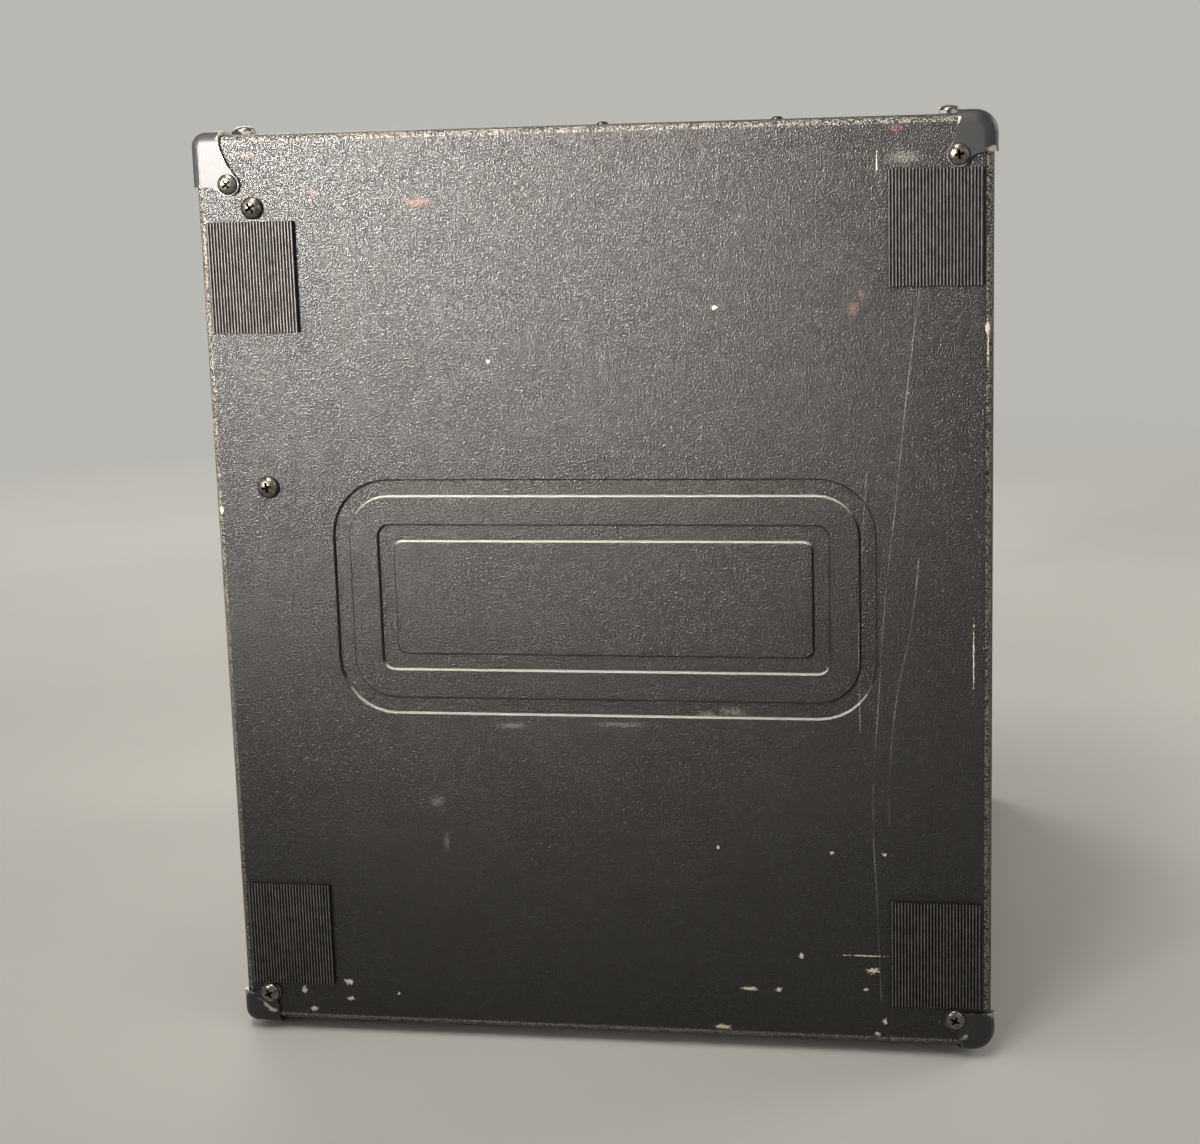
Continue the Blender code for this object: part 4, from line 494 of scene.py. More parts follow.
# %% Moulded rubber
rubber, shader, where = new_finish("moulded_black_rubber", "#141312", 0.6, Specular_IOR_Level=0.3)
bloom = add(rubber, "TexNoise", {"Vector": where, "Scale": 300.0, "Detail": 4.0})
tone = add(rubber, "ValToRGB", {"Fac": bloom}, [(0.4, "#090808"), (0.75, "#191716")])
tips = add(rubber, "Attribute", attribute_name="tip").outputs["Fac"]
dust_and_highlight = add(rubber, "Math", {0: tips, 1: bloom}, operation="MULTIPLY")
# Rib tips are paler: dust, and a painted highlight
tone = add(rubber, "Mix", {0: dust_and_highlight, 6: tone, 7: "#8a857f"}, data_type="RGBA")
relief = add(rubber, "Bump", {"Height": bloom, "Strength": 0.3, "Distance": 0.05 * MM})
feed(shader, {"Base Color": tone, "Normal": relief})

# %% [markdown]
# ## Plastics, inks and powder coat
# The rest of the amplifier uses few finishes. Steel sheet is powder coated: a fine orange-peel bump on
# a black that isn't very shiny. Plastic parts are moulded ABS with the fine grain that a spark-eroded
# mould leaves, about 0.3 mm across, drawn a little coarser here so that it shows. The white print is
# screen ink, which wears thin in places.

# %% Powder coat, moulded plastic and ink
def grained(name, base, roughness, size, depth, light, metallic=0.0, **shader_values):
    """A finish whose fine grain has a size and a depth in millimetres, and a lighter tone in places."""
    made, shader, where = new_finish(name, base, roughness, metallic, **shader_values)
    grain = add(made, "TexNoise", {"Vector": where, "Scale": 1000.0 / size, "Detail": 2.0})
    patches = add(made, "TexNoise", {"Vector": where, "Scale": 35.0, "Detail": 5.0})
    spread = add(made, "MapRange", {"Value": patches, "From Min": 0.45, "From Max": 0.7})
    tone = add(made, "Mix", {0: spread, 6: base, 7: light}, data_type="RGBA")
    gloss = add(made, "MapRange", {"Value": patches, "From Min": 0.3, "From Max": 0.7,
                                   "To Min": roughness - 0.03, "To Max": roughness + 0.04})
    relief = add(made, "Bump", {"Height": grain, "Strength": 0.8, "Distance": depth * MM})
    feed(shader, {"Base Color": tone, "Roughness": gloss, "Normal": relief})
    return made


powder = grained("black_powder_coated_steel", "#19191a", 0.48, 0.8, 0.06, light="#1d1d1c")
plastic = grained("moulded_black_abs", "#151515", 0.42, 0.45, 0.03, light="#1e1d1c")
knob_plastic = grained("satin_moulded_phenolic", "#121212", 0.33, 0.5, 0.02, light="#1c1b1a")
button_plastic = grained("moulded_grey_abs", "#77767a", 0.45, 0.45, 0.03, light="#858488")
ink = grained("white_screen_ink", "#d6d5cf", 0.6, 0.3, 0.01, light="#c2c0b8")
black_zinc = grained("black_passivated_zinc", "#2c2c2e", 0.34, 0.5, 0.02, metallic=1.0, light="#3a3937")
zinc = grained("bright_zinc_plate", "#b4b5b3", 0.3, 0.6, 0.015, metallic=1.0, light="#9b9a95")
grip_rubber = grained("moulded_soft_grip_rubber", "#171615", 0.62, 0.5, 0.05, light="#201f1e")
ferrite = grained("sintered_ferrite", "#2d2c2b", 0.7, 0.4, 0.03, light="#37352f")
red_lens = grained("moulded_red_acrylic_lens", "#8e120c", 0.14, 2.0, 0.01, light="#a01a10", Coat_Weight=0.6)
green_lens = grained("moulded_green_acrylic_lens", "#0f7a2b", 0.14, 2.0, 0.01, light="#158c36",
                     Coat_Weight=0.6)

# %% [markdown]
# ## Stained board, paper, cloth, copper, circuit board and aluminium
# These are seen through the grille, the ports and the slots. Plywood shows long grain under its black
# stain, a paper cone shows pressed fibres, and a spider is woven cotton set with brown resin. A wave
# texture makes the threads and the windings: its bands repeat every 314 mm divided by its scale.

# %% Stained plywood and paper pulp
stained, shader, where = new_finish("black_stained_plywood", "#151311", 0.6)
stretched = add(stained, "Mapping", {"Vector": where, "Scale": (12.0, 300.0, 300.0)})
fibre = add(stained, "TexNoise", {"Vector": stretched, "Scale": 1.5, "Detail": 6.0})
tone = add(stained, "ValToRGB", {"Fac": fibre}, [(0.35, "#0e0d0c"), (0.7, "#2a2622")])
feed(shader, {"Base Color": tone, "Normal": add(stained, "Bump", {"Height": fibre, "Distance": 0.15 * MM})})

pulp, shader, where = new_finish("pressed_paper_pulp", "#1b1a19", 0.85)
felt = add(pulp, "TexNoise", {"Vector": where, "Scale": 420.0, "Detail": 6.0, "Distortion": 2.5})
tone = add(pulp, "ValToRGB", {"Fac": felt}, [(0.35, "#141312"), (0.7, "#2b2927")])
feed(shader, {"Base Color": tone, "Normal": add(pulp, "Bump", {"Height": felt, "Distance": 0.12 * MM})})

# %% Woven cloth and wound copper
cloth, shader, where = new_finish("resin_set_cotton_weave", "#9a7430", 0.8)
warp, weft = (add(cloth, "TexWave", {"Vector": where, "Scale": 450.0, "Distortion": 0.6},
                  bands_direction=direction).outputs["Fac"] for direction in ("X", "Z"))
weave = add(cloth, "Math", {0: warp, 1: weft}, operation="MAXIMUM")
tone = add(cloth, "ValToRGB", {"Fac": weave}, [(0.3, "#6e4f1c"), (0.9, "#a98239")])
feed(shader, {"Base Color": tone, "Normal": add(cloth, "Bump", {"Height": weave, "Distance": 0.15 * MM})})

copper, shader, where = new_finish("enamelled_copper_winding", "#a5532c", 0.3, 1.0)
turns = add(copper, "TexWave", {"Vector": where, "Scale": 500.0}, bands_direction="Y").outputs["Fac"]
tone = add(copper, "ValToRGB", {"Fac": turns}, [(0.1, "#5e2a14"), (0.7, "#b9623a")])
feed(shader, {"Base Color": tone, "Normal": add(copper, "Bump", {"Height": turns, "Distance": 0.2 * MM})})

# %% Solder mask and extruded aluminium
board, shader, where = new_finish("green_solder_mask", "#0f3d24", 0.35)
tracks = add(board, "TexBrick", {
    "Vector": where, "Color1": "#0f3d24", "Color2": "#11462a", "Mortar": "#1d6a3e", "Scale": 60.0,
    "Mortar Size": 0.03, "Brick Width": 0.7})
flecks = add(board, "TexNoise", {"Vector": where, "Scale": 300.0, "Detail": 2.0})
feed(shader, {"Base Color": tracks,
              "Normal": add(board, "Bump", {"Height": flecks, "Distance": 0.04 * MM})})

aluminium, shader, where = new_finish("extruded_aluminium", "#a9aaac", 0.36, 1.0)
stretched = add(aluminium, "Mapping", {"Vector": where, "Scale": (900.0, 20.0, 900.0)})
lines = add(aluminium, "TexNoise", {"Vector": stretched, "Scale": 1.0, "Detail": 3.0})
gloss = add(aluminium, "MapRange", {"Value": lines, "To Min": 0.28, "To Max": 0.5})
feed(shader, {"Roughness": gloss,
              "Normal": add(aluminium, "Bump", {"Height": lines, "Distance": 0.04 * MM})})

# %% Insulation of the two wires
pvc, shader, where = new_finish("extruded_pvc_insulation", "#141414", 0.35)
which = add(pvc, "Attribute", attribute_name="wire").outputs["Fac"]
scuffs = add(pvc, "TexNoise", {"Vector": where, "Scale": 500.0, "Detail": 2.0})
tone = add(pvc, "Mix", {0: which, 6: "#131313", 7: "#8c1712"}, data_type="RGBA")
feed(shader, {"Base Color": tone, "Normal": add(pvc, "Bump", {"Height": scuffs, "Distance": 0.02 * MM})})

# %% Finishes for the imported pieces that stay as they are
STAYING = {
    stained: ("baffle_board",), powder: ("amp_chassis",), ferrite: ("woofer_magnet",),
    copper: ("voice_coil",), board: ("preamp_board", "power_board"), aluminium: ("heatsink",),
    plastic: ("fan_frame", "fan_rotor"), zinc: ("handle_pin",),
}
for finish, names in STAYING.items():
    for name in names:
        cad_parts[name].data.materials[0] = finish

# %% [markdown]
# ## The cabinet shell
# The shell is a glued tube of 15 mm boards with routed edges: 8 mm at the front, 4.5 mm at the rear,
# and 4 mm round each side. A cube with bevelled edges gives the outside, and a narrow inset on each
# flat keeps the shading of the roundings off the flats. The openings and the routed frames are cut
# with Booleans, because they cross those surfaces.

# %% The cabinet's outside, grown where a protector needs it
FRONT_EDGE, REAR_EDGE, SIDE_EDGE = 8.0, 4.5, 4.0


def cabinet_block(grow=0.0, segments=8):
    """The outside of the cabinet as a solid, larger by a distance on every side."""
    drawing = bmesh.new()
    reach = Vector((grow, grow, grow))
    block(drawing, Vector((LEFT, FRONT, BOTTOM)) - reach, Vector((RIGHT, REAR, TOP)) + reach)
    for sign, radius in ((-1, FRONT_EDGE + grow), (1, REAR_EDGE + grow)):
        edges = [e for e in drawing.edges
                 if abs((e.verts[0].co - e.verts[1].co).x) > 1
                 and all(v.co.y * sign > REAR - 1 for v in e.verts)]
        bmesh.ops.bevel(drawing, geom=edges, offset=radius, segments=segments, profile=0.5,
                        affect="EDGES", material=-1, clamp_overlap=False)
    ends = [e for e in drawing.edges
            if abs((e.verts[0].co - e.verts[1].co).x) < 1e-3
            and abs(e.link_faces[0].normal.x) + abs(e.link_faces[1].normal.x) > 0.9]
    bmesh.ops.bevel(drawing, geom=ends, offset=SIDE_EDGE + grow, segments=segments, profile=0.5,
                    affect="EDGES", material=-1, clamp_overlap=False)
    return drawing


# %% The routed frames
FRAME_LOW, FRAME_HIGH = Vector((-125.0, 157.3)), Vector((120.0, 265.3))
FRAME_RADIUS, GROOVE, GROOVE_DEPTH, FRAME_STEP = 26.0, 7.5, 1.5, 20.5


def groove(side, number):
    """A closed channel round one frame, with a worn shoulder along both of its edges."""
    drawing = bmesh.new()
    # How far in from the frame's outer line, and how high over the board's face, each loop lies
    half = [(-1.1, 0.6), (-0.35, 0.0), (-0.15, -0.16), (0.15, -0.52), (0.35, -0.95), (0.45, -GROOVE_DEPTH)]
    loops = half + [(GROOVE - across, rise) for across, rise in reversed(half)]
    rings = []
    for across, rise in loops:
        edge = number * FRAME_STEP + across
        reach = Vector((edge, edge))
        outline = rounded(FRAME_LOW + reach, FRAME_HIGH - reach, max(FRAME_RADIUS - edge, 4.0), 8)
        rings.append([(SIGNS[side] * (RIGHT + rise), a, b) for a, b in outline])
    hoop(drawing, rings)
    return drawing


# %% Cut the shell
shell = cabinet_block()
flats = [f for f in shell.faces if f.calc_area() > 20000]
bmesh.ops.inset_individual(shell, faces=flats, thickness=0.4)
room = bmesh.new()
block(room, (LEFT + BOARD, FRONT - 20, BOTTOM + BOARD), (RIGHT - BOARD, REAR + 20, TOP - BOARD))
controls = bmesh.new()
plate(controls, rounded((-150, 47), (150, 139), 8.0), "XY", 395, 440)
handle_hole = bmesh.new()
block(handle_hole, (-72.3, -68.3, 390), (72.3, 8.3, 440))
screw_holes = bmesh.new()
for z in sorted(CHASSIS_SCREW_LEVELS.values()):
    drum(screw_holes, (LEFT - 20, CHASSIS_SCREW_Y, z), (RIGHT + 20, CHASSIS_SCREW_Y, z), 2.7, sides=20)
shell = carve(shell, room, controls, handle_hole, screw_holes)
shell = carve(shell, *[groove(side, number) for side in ("left", "right") for number in (0, 1)])
print("shell:", len(shell.faces), "faces")
piece("coated_cabinet_shell", shell, spatter, stands_for=["cabinet_shell"], smooth=22)

# %% [markdown]
# ## Screws with a cross recess
# A pan-head screw is a turned dome with a cross punched in it. The dome is spun, and two crossed
# tapering wedges cut the recess. The mesh is made once for each size and copied to every place.

# %% One pan-head screw of each size
def screw_mesh(radius, rise, lip=0.45):
    """A domed head with a cross recess, standing on z 0, as a mesh to copy."""
    head = bmesh.new()
    dome = [(radius * math.sin(a), lip + (rise - lip) * math.cos(a))
            for a in (math.radians(90 * n / 7) for n in range(8))]
    turned(head, [(0, -0.3)] + [(radius * 0.98, -0.3), (radius, 0.05)] + dome[::-1], (0, 0, 0), steps=28)
    wedges = []
    for turn in (0, 90):
        wedge = bmesh.new()
        block(wedge, (-0.6 * radius, -0.15 * radius, 0.15 * rise), (0.6 * radius, 0.15 * radius, rise + 1))
        low = [v for v in wedge.verts if v.co.z < rise]
        bmesh.ops.scale(wedge, vec=(0.45, 0.6, 1), verts=low)
        bmesh.ops.rotate(wedge, cent=(0, 0, 0), matrix=Matrix.Rotation(math.radians(turn), 3, "Z"),
                         verts=wedge.verts)
        wedges.append(wedge)
    head = carve(head, *wedges)
    # Vertices inside the cross recess are marked to be coloured near black
    recess_darkening = head.verts.layers.float.new("recess_darkening")
    for vert in head.verts:
        out = vert.co.xy.length
        dome_height = lip + (rise - lip) * math.sqrt(max(0.0, 1 - (out / radius) ** 2))
        vert[recess_darkening] = 1.0 if out < 0.7 * radius and vert.co.z < dome_height - 0.15 * rise else 0.0
    return mesh_of(head)


def screwed(mesh, places):
    """Copies of a screw, each at a place, looking in a direction and turned about it by degrees."""
    return stamped(mesh, [facing(place, direction) @ Matrix.Rotation(math.radians(turn), 4, "Z")
                          for place, direction, turn in places])


def screw_rows(name, mesh, places, direction, turn, step, more=()):
    """One piece of black screws that look one way, each cross turned a step on from the last."""
    rows = [(place, direction, turn + step * n) for n, place in enumerate(places)]
    piece(name, screwed(mesh, [*rows, *more]), black_zinc)


corner_screw = screw_mesh(4.5, 2.2)
chassis_screw = screw_mesh(5.0, 3.2)
small_screw = screw_mesh(2.9, 1.5)

# %% [markdown]
# ## Corner protectors
# Each corner wears a pressed steel cap: two lobed tabs wrapped over the edges, one on the side and one
# on the top or bottom, each held by a screw. The cap is the shell's outside, grown by the sheet's
# thickness, less the shell, kept where the two tabs' outlines pass through it. Pressing leaves the rims
# rounded, and every rounded rim gets a mark for the enamel's wear.

# %% Corner protectors and their screws
SHEET = 1.4
LOBE = 5.0
# For each end and level: the side screw from the end and from the edge, then the tab's two legs
TABS = {
    ("rear", "top"): (15.5, 21.5, 12.0, 22.5),
    ("front", "top"): (14.6, 16.8, 15.0, 16.0),
    ("rear", "bottom"): (12.4, 14.2, 16.4, 13.8),
    ("front", "bottom"): (15.9, 13.9, 13.0, 17.0),
}
# How far each side screw's cross is turned in its recess, in degrees
CROSS_TURNS = {("rear", "top"): 38, ("front", "top"): 10, ("rear", "bottom"): 25, ("front", "bottom"): 62}


def bend(start, control, end, segments=6):
    """Points along a curve that leaves its start and meets its end towards a control point."""
    start, control, end = Vector(start), Vector(control), Vector(end)
    shares = [n / segments for n in range(segments + 1)]
    return [(start * (1 - t) ** 2 + control * 2 * t * (1 - t) + end * t ** 2)[:] for t in shares]


def tab_outline(place, beyond):
    """A tab with one round lobe, measured inwards from the two edges of its face."""
    across, drop, leg_across, leg_up = place
    lobe = arc((across, drop), LOBE, -50, 140, 14)
    points = [(-beyond, -beyond), (leg_across, -beyond)]
    points += bend((leg_across, 1.0), (leg_across, 0.4 * drop), lobe[0])
    points += lobe[1:-1]
    return points + bend(lobe[-1], (across - LOBE, leg_up), (LOBE / 2, leg_up)) + [(-beyond, leg_up)]


def protector(sign_x, sign_y, sign_z, edge_z, place):
    """One cap with its rims rounded and marked."""
    tab, flat = bmesh.new(), bmesh.new()
    outline = [(sign_y * (REAR - a), edge_z - sign_z * b) for a, b in tab_outline(place, 15)]
    plate(tab, outline, "YZ", *sorted((sign_x * (RIGHT + 15), sign_x * (RIGHT - 4))))
    outline = tab_outline((19.0, 15.0, place[2], 16.0), 7.5)
    outline = [(sign_x * (RIGHT - b), sign_y * (REAR - a)) for a, b in outline]
    plate(flat, outline, "XY", *sorted((edge_z + sign_z * 7.5, edge_z - sign_z * 4)))
    cap = carve(tab, flat, operation="UNION")
    cap = carve(cap, cabinet_block(GAP + SHEET, 6), operation="INTERSECT")
    cap = carve(cap, cabinet_block(GAP, 6))
    soften(cap, 0.4, angle=50)
    flats = [f for f in cap.faces if f.calc_area() > 15]
    bmesh.ops.inset_individual(cap, faces=flats, thickness=0.5)
    rim = cap.verts.layers.float.new("rim")
    for vert in cap.verts:
        angles = [e.calc_face_angle(0) for e in vert.link_edges]
        vert[rim] = 1.0 if max(angles) > math.radians(20) else 0.0
    return cap


screws = []
for side in ("left", "right"):
    for (end, level), place in TABS.items():
        sign_x, sign_y, sign_z = SIGNS[side], SIGNS[end], SIGNS[level]
        edge_z = TOP if level == "top" else BOTTOM
        name = f"corner_protector_{end}_{side}_{level}"
        piece(f"pressed_{name}", protector(sign_x, sign_y, sign_z, edge_z, place), enamel,
              stands_for=[name])
        on_side = (sign_x * (RIGHT + GAP + SHEET), sign_y * (REAR - place[0]), edge_z - sign_z * place[1])
        on_flat = (sign_x * (RIGHT - 15), sign_y * (REAR - 19), edge_z + sign_z * (GAP + SHEET))
        screws.append((on_side, (sign_x, 0, 0), CROSS_TURNS[end, level]))
        screws.append((on_flat, (0, 0, sign_z), 20 + 40 * len(screws)))
piece("protector_screws", screwed(corner_screw, screws), nickel)
print("protector screws:", len(screws))

# %% Chassis screws, each with its shank through the board
CHASSIS_CROSS_TURNS = {"upper": 32, "lower": 12}
for side in ("left", "right"):
    for level, turn in CHASSIS_CROSS_TURNS.items():
        direction, z = (SIGNS[side], 0, 0), CHASSIS_SCREW_LEVELS[level]
        on_board = (SIGNS[side] * RIGHT, CHASSIS_SCREW_Y, z)
        under_head = (SIGNS[side] * (RIGHT + GAP + 0.05), CHASSIS_SCREW_Y, z)
        screw = screwed(chassis_screw, [(under_head, direction, turn)])
        shank = [(0, -22.5), (1.8, -22.5), (2.4, -21.6), (2.4, 0.2), (0, 0.2)]
        turned(screw, shank, on_board, direction, 20)
        name = f"chassis_screw_{side}_{level}"
        piece(f"pan_head_{name}", screw, nickel, stands_for=[name])

# %% [markdown]
# ## Ribbed side pads and feet
# The pads are moulded with 28 fine upright ribs. One pad's cross-section is an outline with a small
# arc for every rib, pulled to the pad's height. The feet are plain blocks with rounded edges.

# %% Side pads
PAD_LENGTH, PAD_HEIGHT, PAD_THICKNESS, RIBS, RIB_RISE = 40.0, 49.0, 2.0, 28, 0.6
PAD_STARTS = {"rear": 130.5, "front": -170.5}
PAD_TOPS = {("rear", "top"): 381.3, ("front", "top"): 397.2,
            ("rear", "bottom"): 73.8, ("front", "bottom"): 73.8}
# One rib's outline: shares of the pitch from its middle, and shares of its rise
RIB = ((0.49, 0.0), (0.36, 0.62), (0.2, 0.92), (0.0, 1.0), (-0.2, 0.92), (-0.36, 0.62), (-0.49, 0.0))
pitch = PAD_LENGTH / RIBS
pad_face = LEFT - GAP - PAD_THICKNESS
for (end, level), top in PAD_TOPS.items():
    start = PAD_STARTS[end]
    outline = [(LEFT - GAP, start), (LEFT - GAP, start + PAD_LENGTH)]
    for number in reversed(range(RIBS)):
        middle = start + (number + 0.5) * pitch
        outline += [(pad_face + RIB_RISE - rise * RIB_RISE, middle + share * pitch) for share, rise in RIB]
    pad = bmesh.new()
    plate(pad, outline, "XY", top - PAD_HEIGHT, top)
    # Crest vertices are marked for the rubber's pale tips: dust and a painted highlight
    tip = pad.verts.layers.float.new("tip")
    for vert in pad.verts:
        vert[tip] = 1.0 if vert.co.x < pad_face + 0.05 * RIB_RISE else 0.0
    name = f"side_pad_{end}_{level}"
    piece(f"ribbed_{name}", pad, rubber, stands_for=[name], smooth=50)

# %% Feet
for end in ("front", "rear"):
    for side in ("left", "right"):
        name = f"foot_{end}_{side}"
        low, high = (Vector(corner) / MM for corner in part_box(name))
        foot = bmesh.new()
        block(foot, low, high, 1.5, 3)
        piece(f"rounded_{name}", foot, rubber, stands_for=[name])

# %% [markdown]
# ## Perforated grille
# The grille is a tray of perforated steel. A punched sheet repeats one cell: a round hole in a
# rectangle, with every other row shifted by half a pitch. So one cell is filled between its rim and its
# hole, stamped in rows, welded and pulled to the sheet's thickness. The tray's plain border is a set of
# rounded rectangles bridged along its profile. The holes here are 5.2 mm on a 7.5 mm pitch.

# %% One row of holes
GRILLE_FRONT, GRILLE_SHEET = FRONT + 2.0, 1.5
GRILLE_LOW, GRILLE_HIGH = Vector((-184.7, 20.6)), Vector((184.7, 404.0))
PITCH, HOLE, COLUMNS, ROWS = 7.5, 2.6, 46, 56
ROW = PITCH * math.sqrt(3) / 2
cell = bmesh.new()
rim = [cell.verts.new((a * PITCH / 2, 0, b * ROW / 2))
       for a, b in ((-1, -1), (0, -1), (1, -1), (1, 1), (0, 1), (-1, 1))]
for pair in zip(rim, rim[1:] + rim[:1]):
    cell.edges.new(pair)
bmesh.ops.create_circle(cell, segments=12, radius=HOLE, matrix=Matrix.Rotation(math.radians(90), 4, "X"))
bmesh.ops.triangle_fill(cell, use_beauty=True, use_dissolve=False, edges=list(cell.edges))
cell = mesh_of(cell)
full_row = mesh_of(stamped(cell, [Matrix.Translation(((n + 0.5 - COLUMNS / 2) * PITCH, 0, 0))
                                  for n in range(COLUMNS)]))
shifted_row = stamped(cell, [Matrix.Translation(((n + 1 - COLUMNS / 2) * PITCH, 0, 0))
                             for n in range(COLUMNS - 1)])
for sign in (-1, 1):
    end, start = sign * COLUMNS * PITCH / 2, sign * (COLUMNS - 1) * PITCH / 2
    corners = ((end, -ROW / 2), (start, -ROW / 2), (start, ROW / 2), (end, ROW / 2))
    shifted_row.faces.new([shifted_row.verts.new((a, 0, b)) for a, b in corners])
shifted_row = mesh_of(shifted_row)

# %% The perforated sheet and its folded border
middle = (GRILLE_LOW.y + GRILLE_HIGH.y) / 2
levels = [Matrix.Translation((0, GRILLE_FRONT, middle + (n + 0.5 - ROWS / 2) * ROW)) for n in range(ROWS)]
tray = stamped(full_row, levels[0::2])
tray.from_mesh(mesh_of(stamped(shifted_row, levels[1::2])))
bmesh.ops.remove_doubles(tray, verts=tray.verts, dist=0.01)
pulled = bmesh.ops.extrude_face_region(tray, geom=list(tray.faces))["geom"]
moved = [item for item in pulled if isinstance(item, bmesh.types.BMVert)]
bmesh.ops.translate(tray, verts=moved, vec=BACK * GRILLE_SHEET)
reach = Vector((COLUMNS * PITCH / 2, ROWS * ROW / 2))
field = rounded(Vector((0, middle)) - reach, Vector((0, middle)) + reach, 0.05)
fold = [(3.0, 0.0)] + [(3 - 3 * math.sin(math.radians(a)), 3 - 3 * math.cos(math.radians(a)))
                       for a in (25, 50, 75, 90)]
fold += [(0.0, 17.7), (1.5, 17.7), (1.5, 3.0), (1.9, 1.9), (3.0, 1.5)]
rings = [[(a, GRILLE_FRONT, b) for a, b in field]]
for inset, depth in fold:
    edge = Vector((inset, inset))
    outline = rounded(GRILLE_LOW + edge, GRILLE_HIGH - edge, max(5.0 - inset, 0.5))
    rings.append([(a, GRILLE_FRONT + depth, b) for a, b in outline])
rings.append([(a, GRILLE_FRONT + GRILLE_SHEET, b) for a, b in field])
hoop(tray, rings)
print("grille:", len(tray.faces), "faces,", COLUMNS * ROWS, "holes")
piece("perforated_speaker_grille", tray, powder, stands_for=["speaker_grille"])
spots = [(x, z) for x in (-178.6, 178.6) for z in (30, middle, 395)]
spots += [(x, z) for x in (-90, 90) for z in (26, 398.6)]
screw_rows("grille_screws", small_screw, [(x, GRILLE_FRONT, z) for x, z in spots], FORTH, 15, 33)

# %% [markdown]
# ## The loudspeaker
# The basket is pressed steel with six windows, the cone is felted paper with stiffening rings, and the
# dust cap is glued on it. All are turned. Behind the grille only the front shows, yet the parts keep
# their full form, because the joint moves the cone.

# %% Basket and terminal
WOOFER = Vector((0, -160.3, 205.3))
basket = bmesh.new()
turned(basket, [(154.5, -0.6), (154.5, -5), (139.5, -5), (139.5, -21), (138.6, -23), (86, -72), (86, -74.5),
                (78.5, -74.5), (78.5, -92), (77.5, -93), (36, -93), (36, -90.5), (76, -90.5), (76, -72),
                (83.5, -72), (137, -21), (137, 0), (153.9, 0), (154.5, -0.6)], WOOFER, FORTH, 96)
windows = []
for turn in (0, 60, 120):
    window = bmesh.new()
    block(window, (-154.5, -21, -33), (154.5, 21, 33))
    bmesh.ops.transform(window, verts=window.verts, matrix=Matrix.Translation(WOOFER + BACK * 47)
                        @ Matrix.Rotation(math.radians(turn), 4, "Y"))
    windows.append(window)
piece("pressed_woofer_basket", carve(basket, *windows), powder, stands_for=["woofer_basket"])
terminal = bmesh.new()
block(terminal, (-12, -122.3, 313.3), (12, -110.3, 333.3), 0.8)
for x in (-6, 6):
    block(terminal, (x - 2.4, -111, 325.4), (x + 2.4, -109.9, 330), 0.3)
piece("speaker_terminal_block", terminal, plastic, stands_for=["woofer_basket"])

# %% Cone and dust cap
dome = [(46 * math.sin(math.radians(a)), -49.4 + 14 * math.cos(math.radians(a))) for a in range(0, 91, 9)]
slope = (49.4 - 4) / (123.1 - 46)
flank = []
for radius in (47.2, 62, 76, 90, 104, 117):
    level = -49.4 + (radius - 46) * slope
    ring = [(radius - 1.8, level - 1.8 * slope), (radius - 0.7, level + 0.15), (radius + 0.5, level + 0.75),
            (radius + 1.8, level + 1.8 * slope)]
    flank += ring if radius > 50 else [(radius, level + 0.5)]
inner_dome = [(max(radius - 0.56, 0), level - 1.4) for radius, level in reversed(dome[:-2])]
cone = bmesh.new()
rim = [(123.1, -4), (123.1, -0.5), (123.5, 0), (124.1, 0), (124.5, -0.5), (124.5, -5.4)]
neck = [(32.8, -59.4), (31.2, -59.4), (32.6, -56.6), (43.2, -51.5)]
turned(cone, dome + flank + rim + neck + inner_dome, WOOFER, FORTH, 96)
piece("felted_paper_cone", cone, pulp, body="speaker_cone", stands_for=["woofer_cone"])

# %% [markdown]
# ## Surround and spider
# The surround is a half roll of rubber between the basket and the cone, and the spider a corrugated
# cloth disc. Each is made of twelve sectors, and neighbours meet on a plane midway between their
# directions.

# %% Sectors of the surround and the spider
SECTORS = 12


def suspension(name, profile, finish):
    """A ring of sectors, each a slice of the turned profile with its ends closed."""
    for number in range(SECTORS):
        sector = bmesh.new()
        turned(sector, profile + profile[:1], (0, 0, 0), UP, 8, 360 / SECTORS)
        ends = [e for e in sector.edges if e.is_boundary]
        bmesh.ops.edgeloop_fill(sector, edges=ends)
        middle = math.radians(360 / SECTORS * (number + 0.5))
        pose = facing(WOOFER, FORTH) @ Matrix.Rotation(math.radians(360 / SECTORS * number), 4, "Z")
        out = facing((0, 0, 0), FORTH) @ Vector((math.cos(middle), math.sin(middle), 0))
        bmesh.ops.transform(sector, matrix=pose, verts=sector.verts)
        made = piece(f"{name}_{number + 1}", sector, finish, body=None, stands_for=[f"woofer_{name}"])
        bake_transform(made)


roll = arc((132.6, 1.5), 7.0, 180, 0, 12)
hollow = arc((132.6, 1.5), 5.8, 0, 180, 12)
suspension("surround", [(125.0, -3.0), *roll, (143, 1.5), (144, 1.1), (146, 1.1), (147, 1.5), (150.0, 1.5),
                        (150.5, 1.0), (150.5, 0.3), (139.0, 0.3), *hollow, (126.2, -3.0)], rubber)
waves = [(33.3 + 40.7 * n / 40, -70.9 + 1.3 * math.sin(math.tau * 5 * n / 40)) for n in range(41)]
waves += [(76.5, -70.9), (80.8, -70.9)]
suspension("spider", waves + [(radius, level - 0.7) for radius, level in reversed(waves)], cloth)
places = [WOOFER + Vector((148.6 * math.cos(a), -1.4, 148.6 * math.sin(a)))
          for a in (math.radians(22.5 + 45 * n) for n in range(8))]
screw_rows("woofer_screws", small_screw, places, FORTH, 20, 47)

# %% [markdown]
# ## The loudspeaker's lead
# Two insulated wires run from the power board's plug to the loudspeaker, twisted together so that they
# hold their shape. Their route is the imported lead's own, smoothed the same way. Each wire is a ring of
# points pushed along the route, and the ring is carried from point to point without twisting, so that
# the only twist is the one that is asked for.

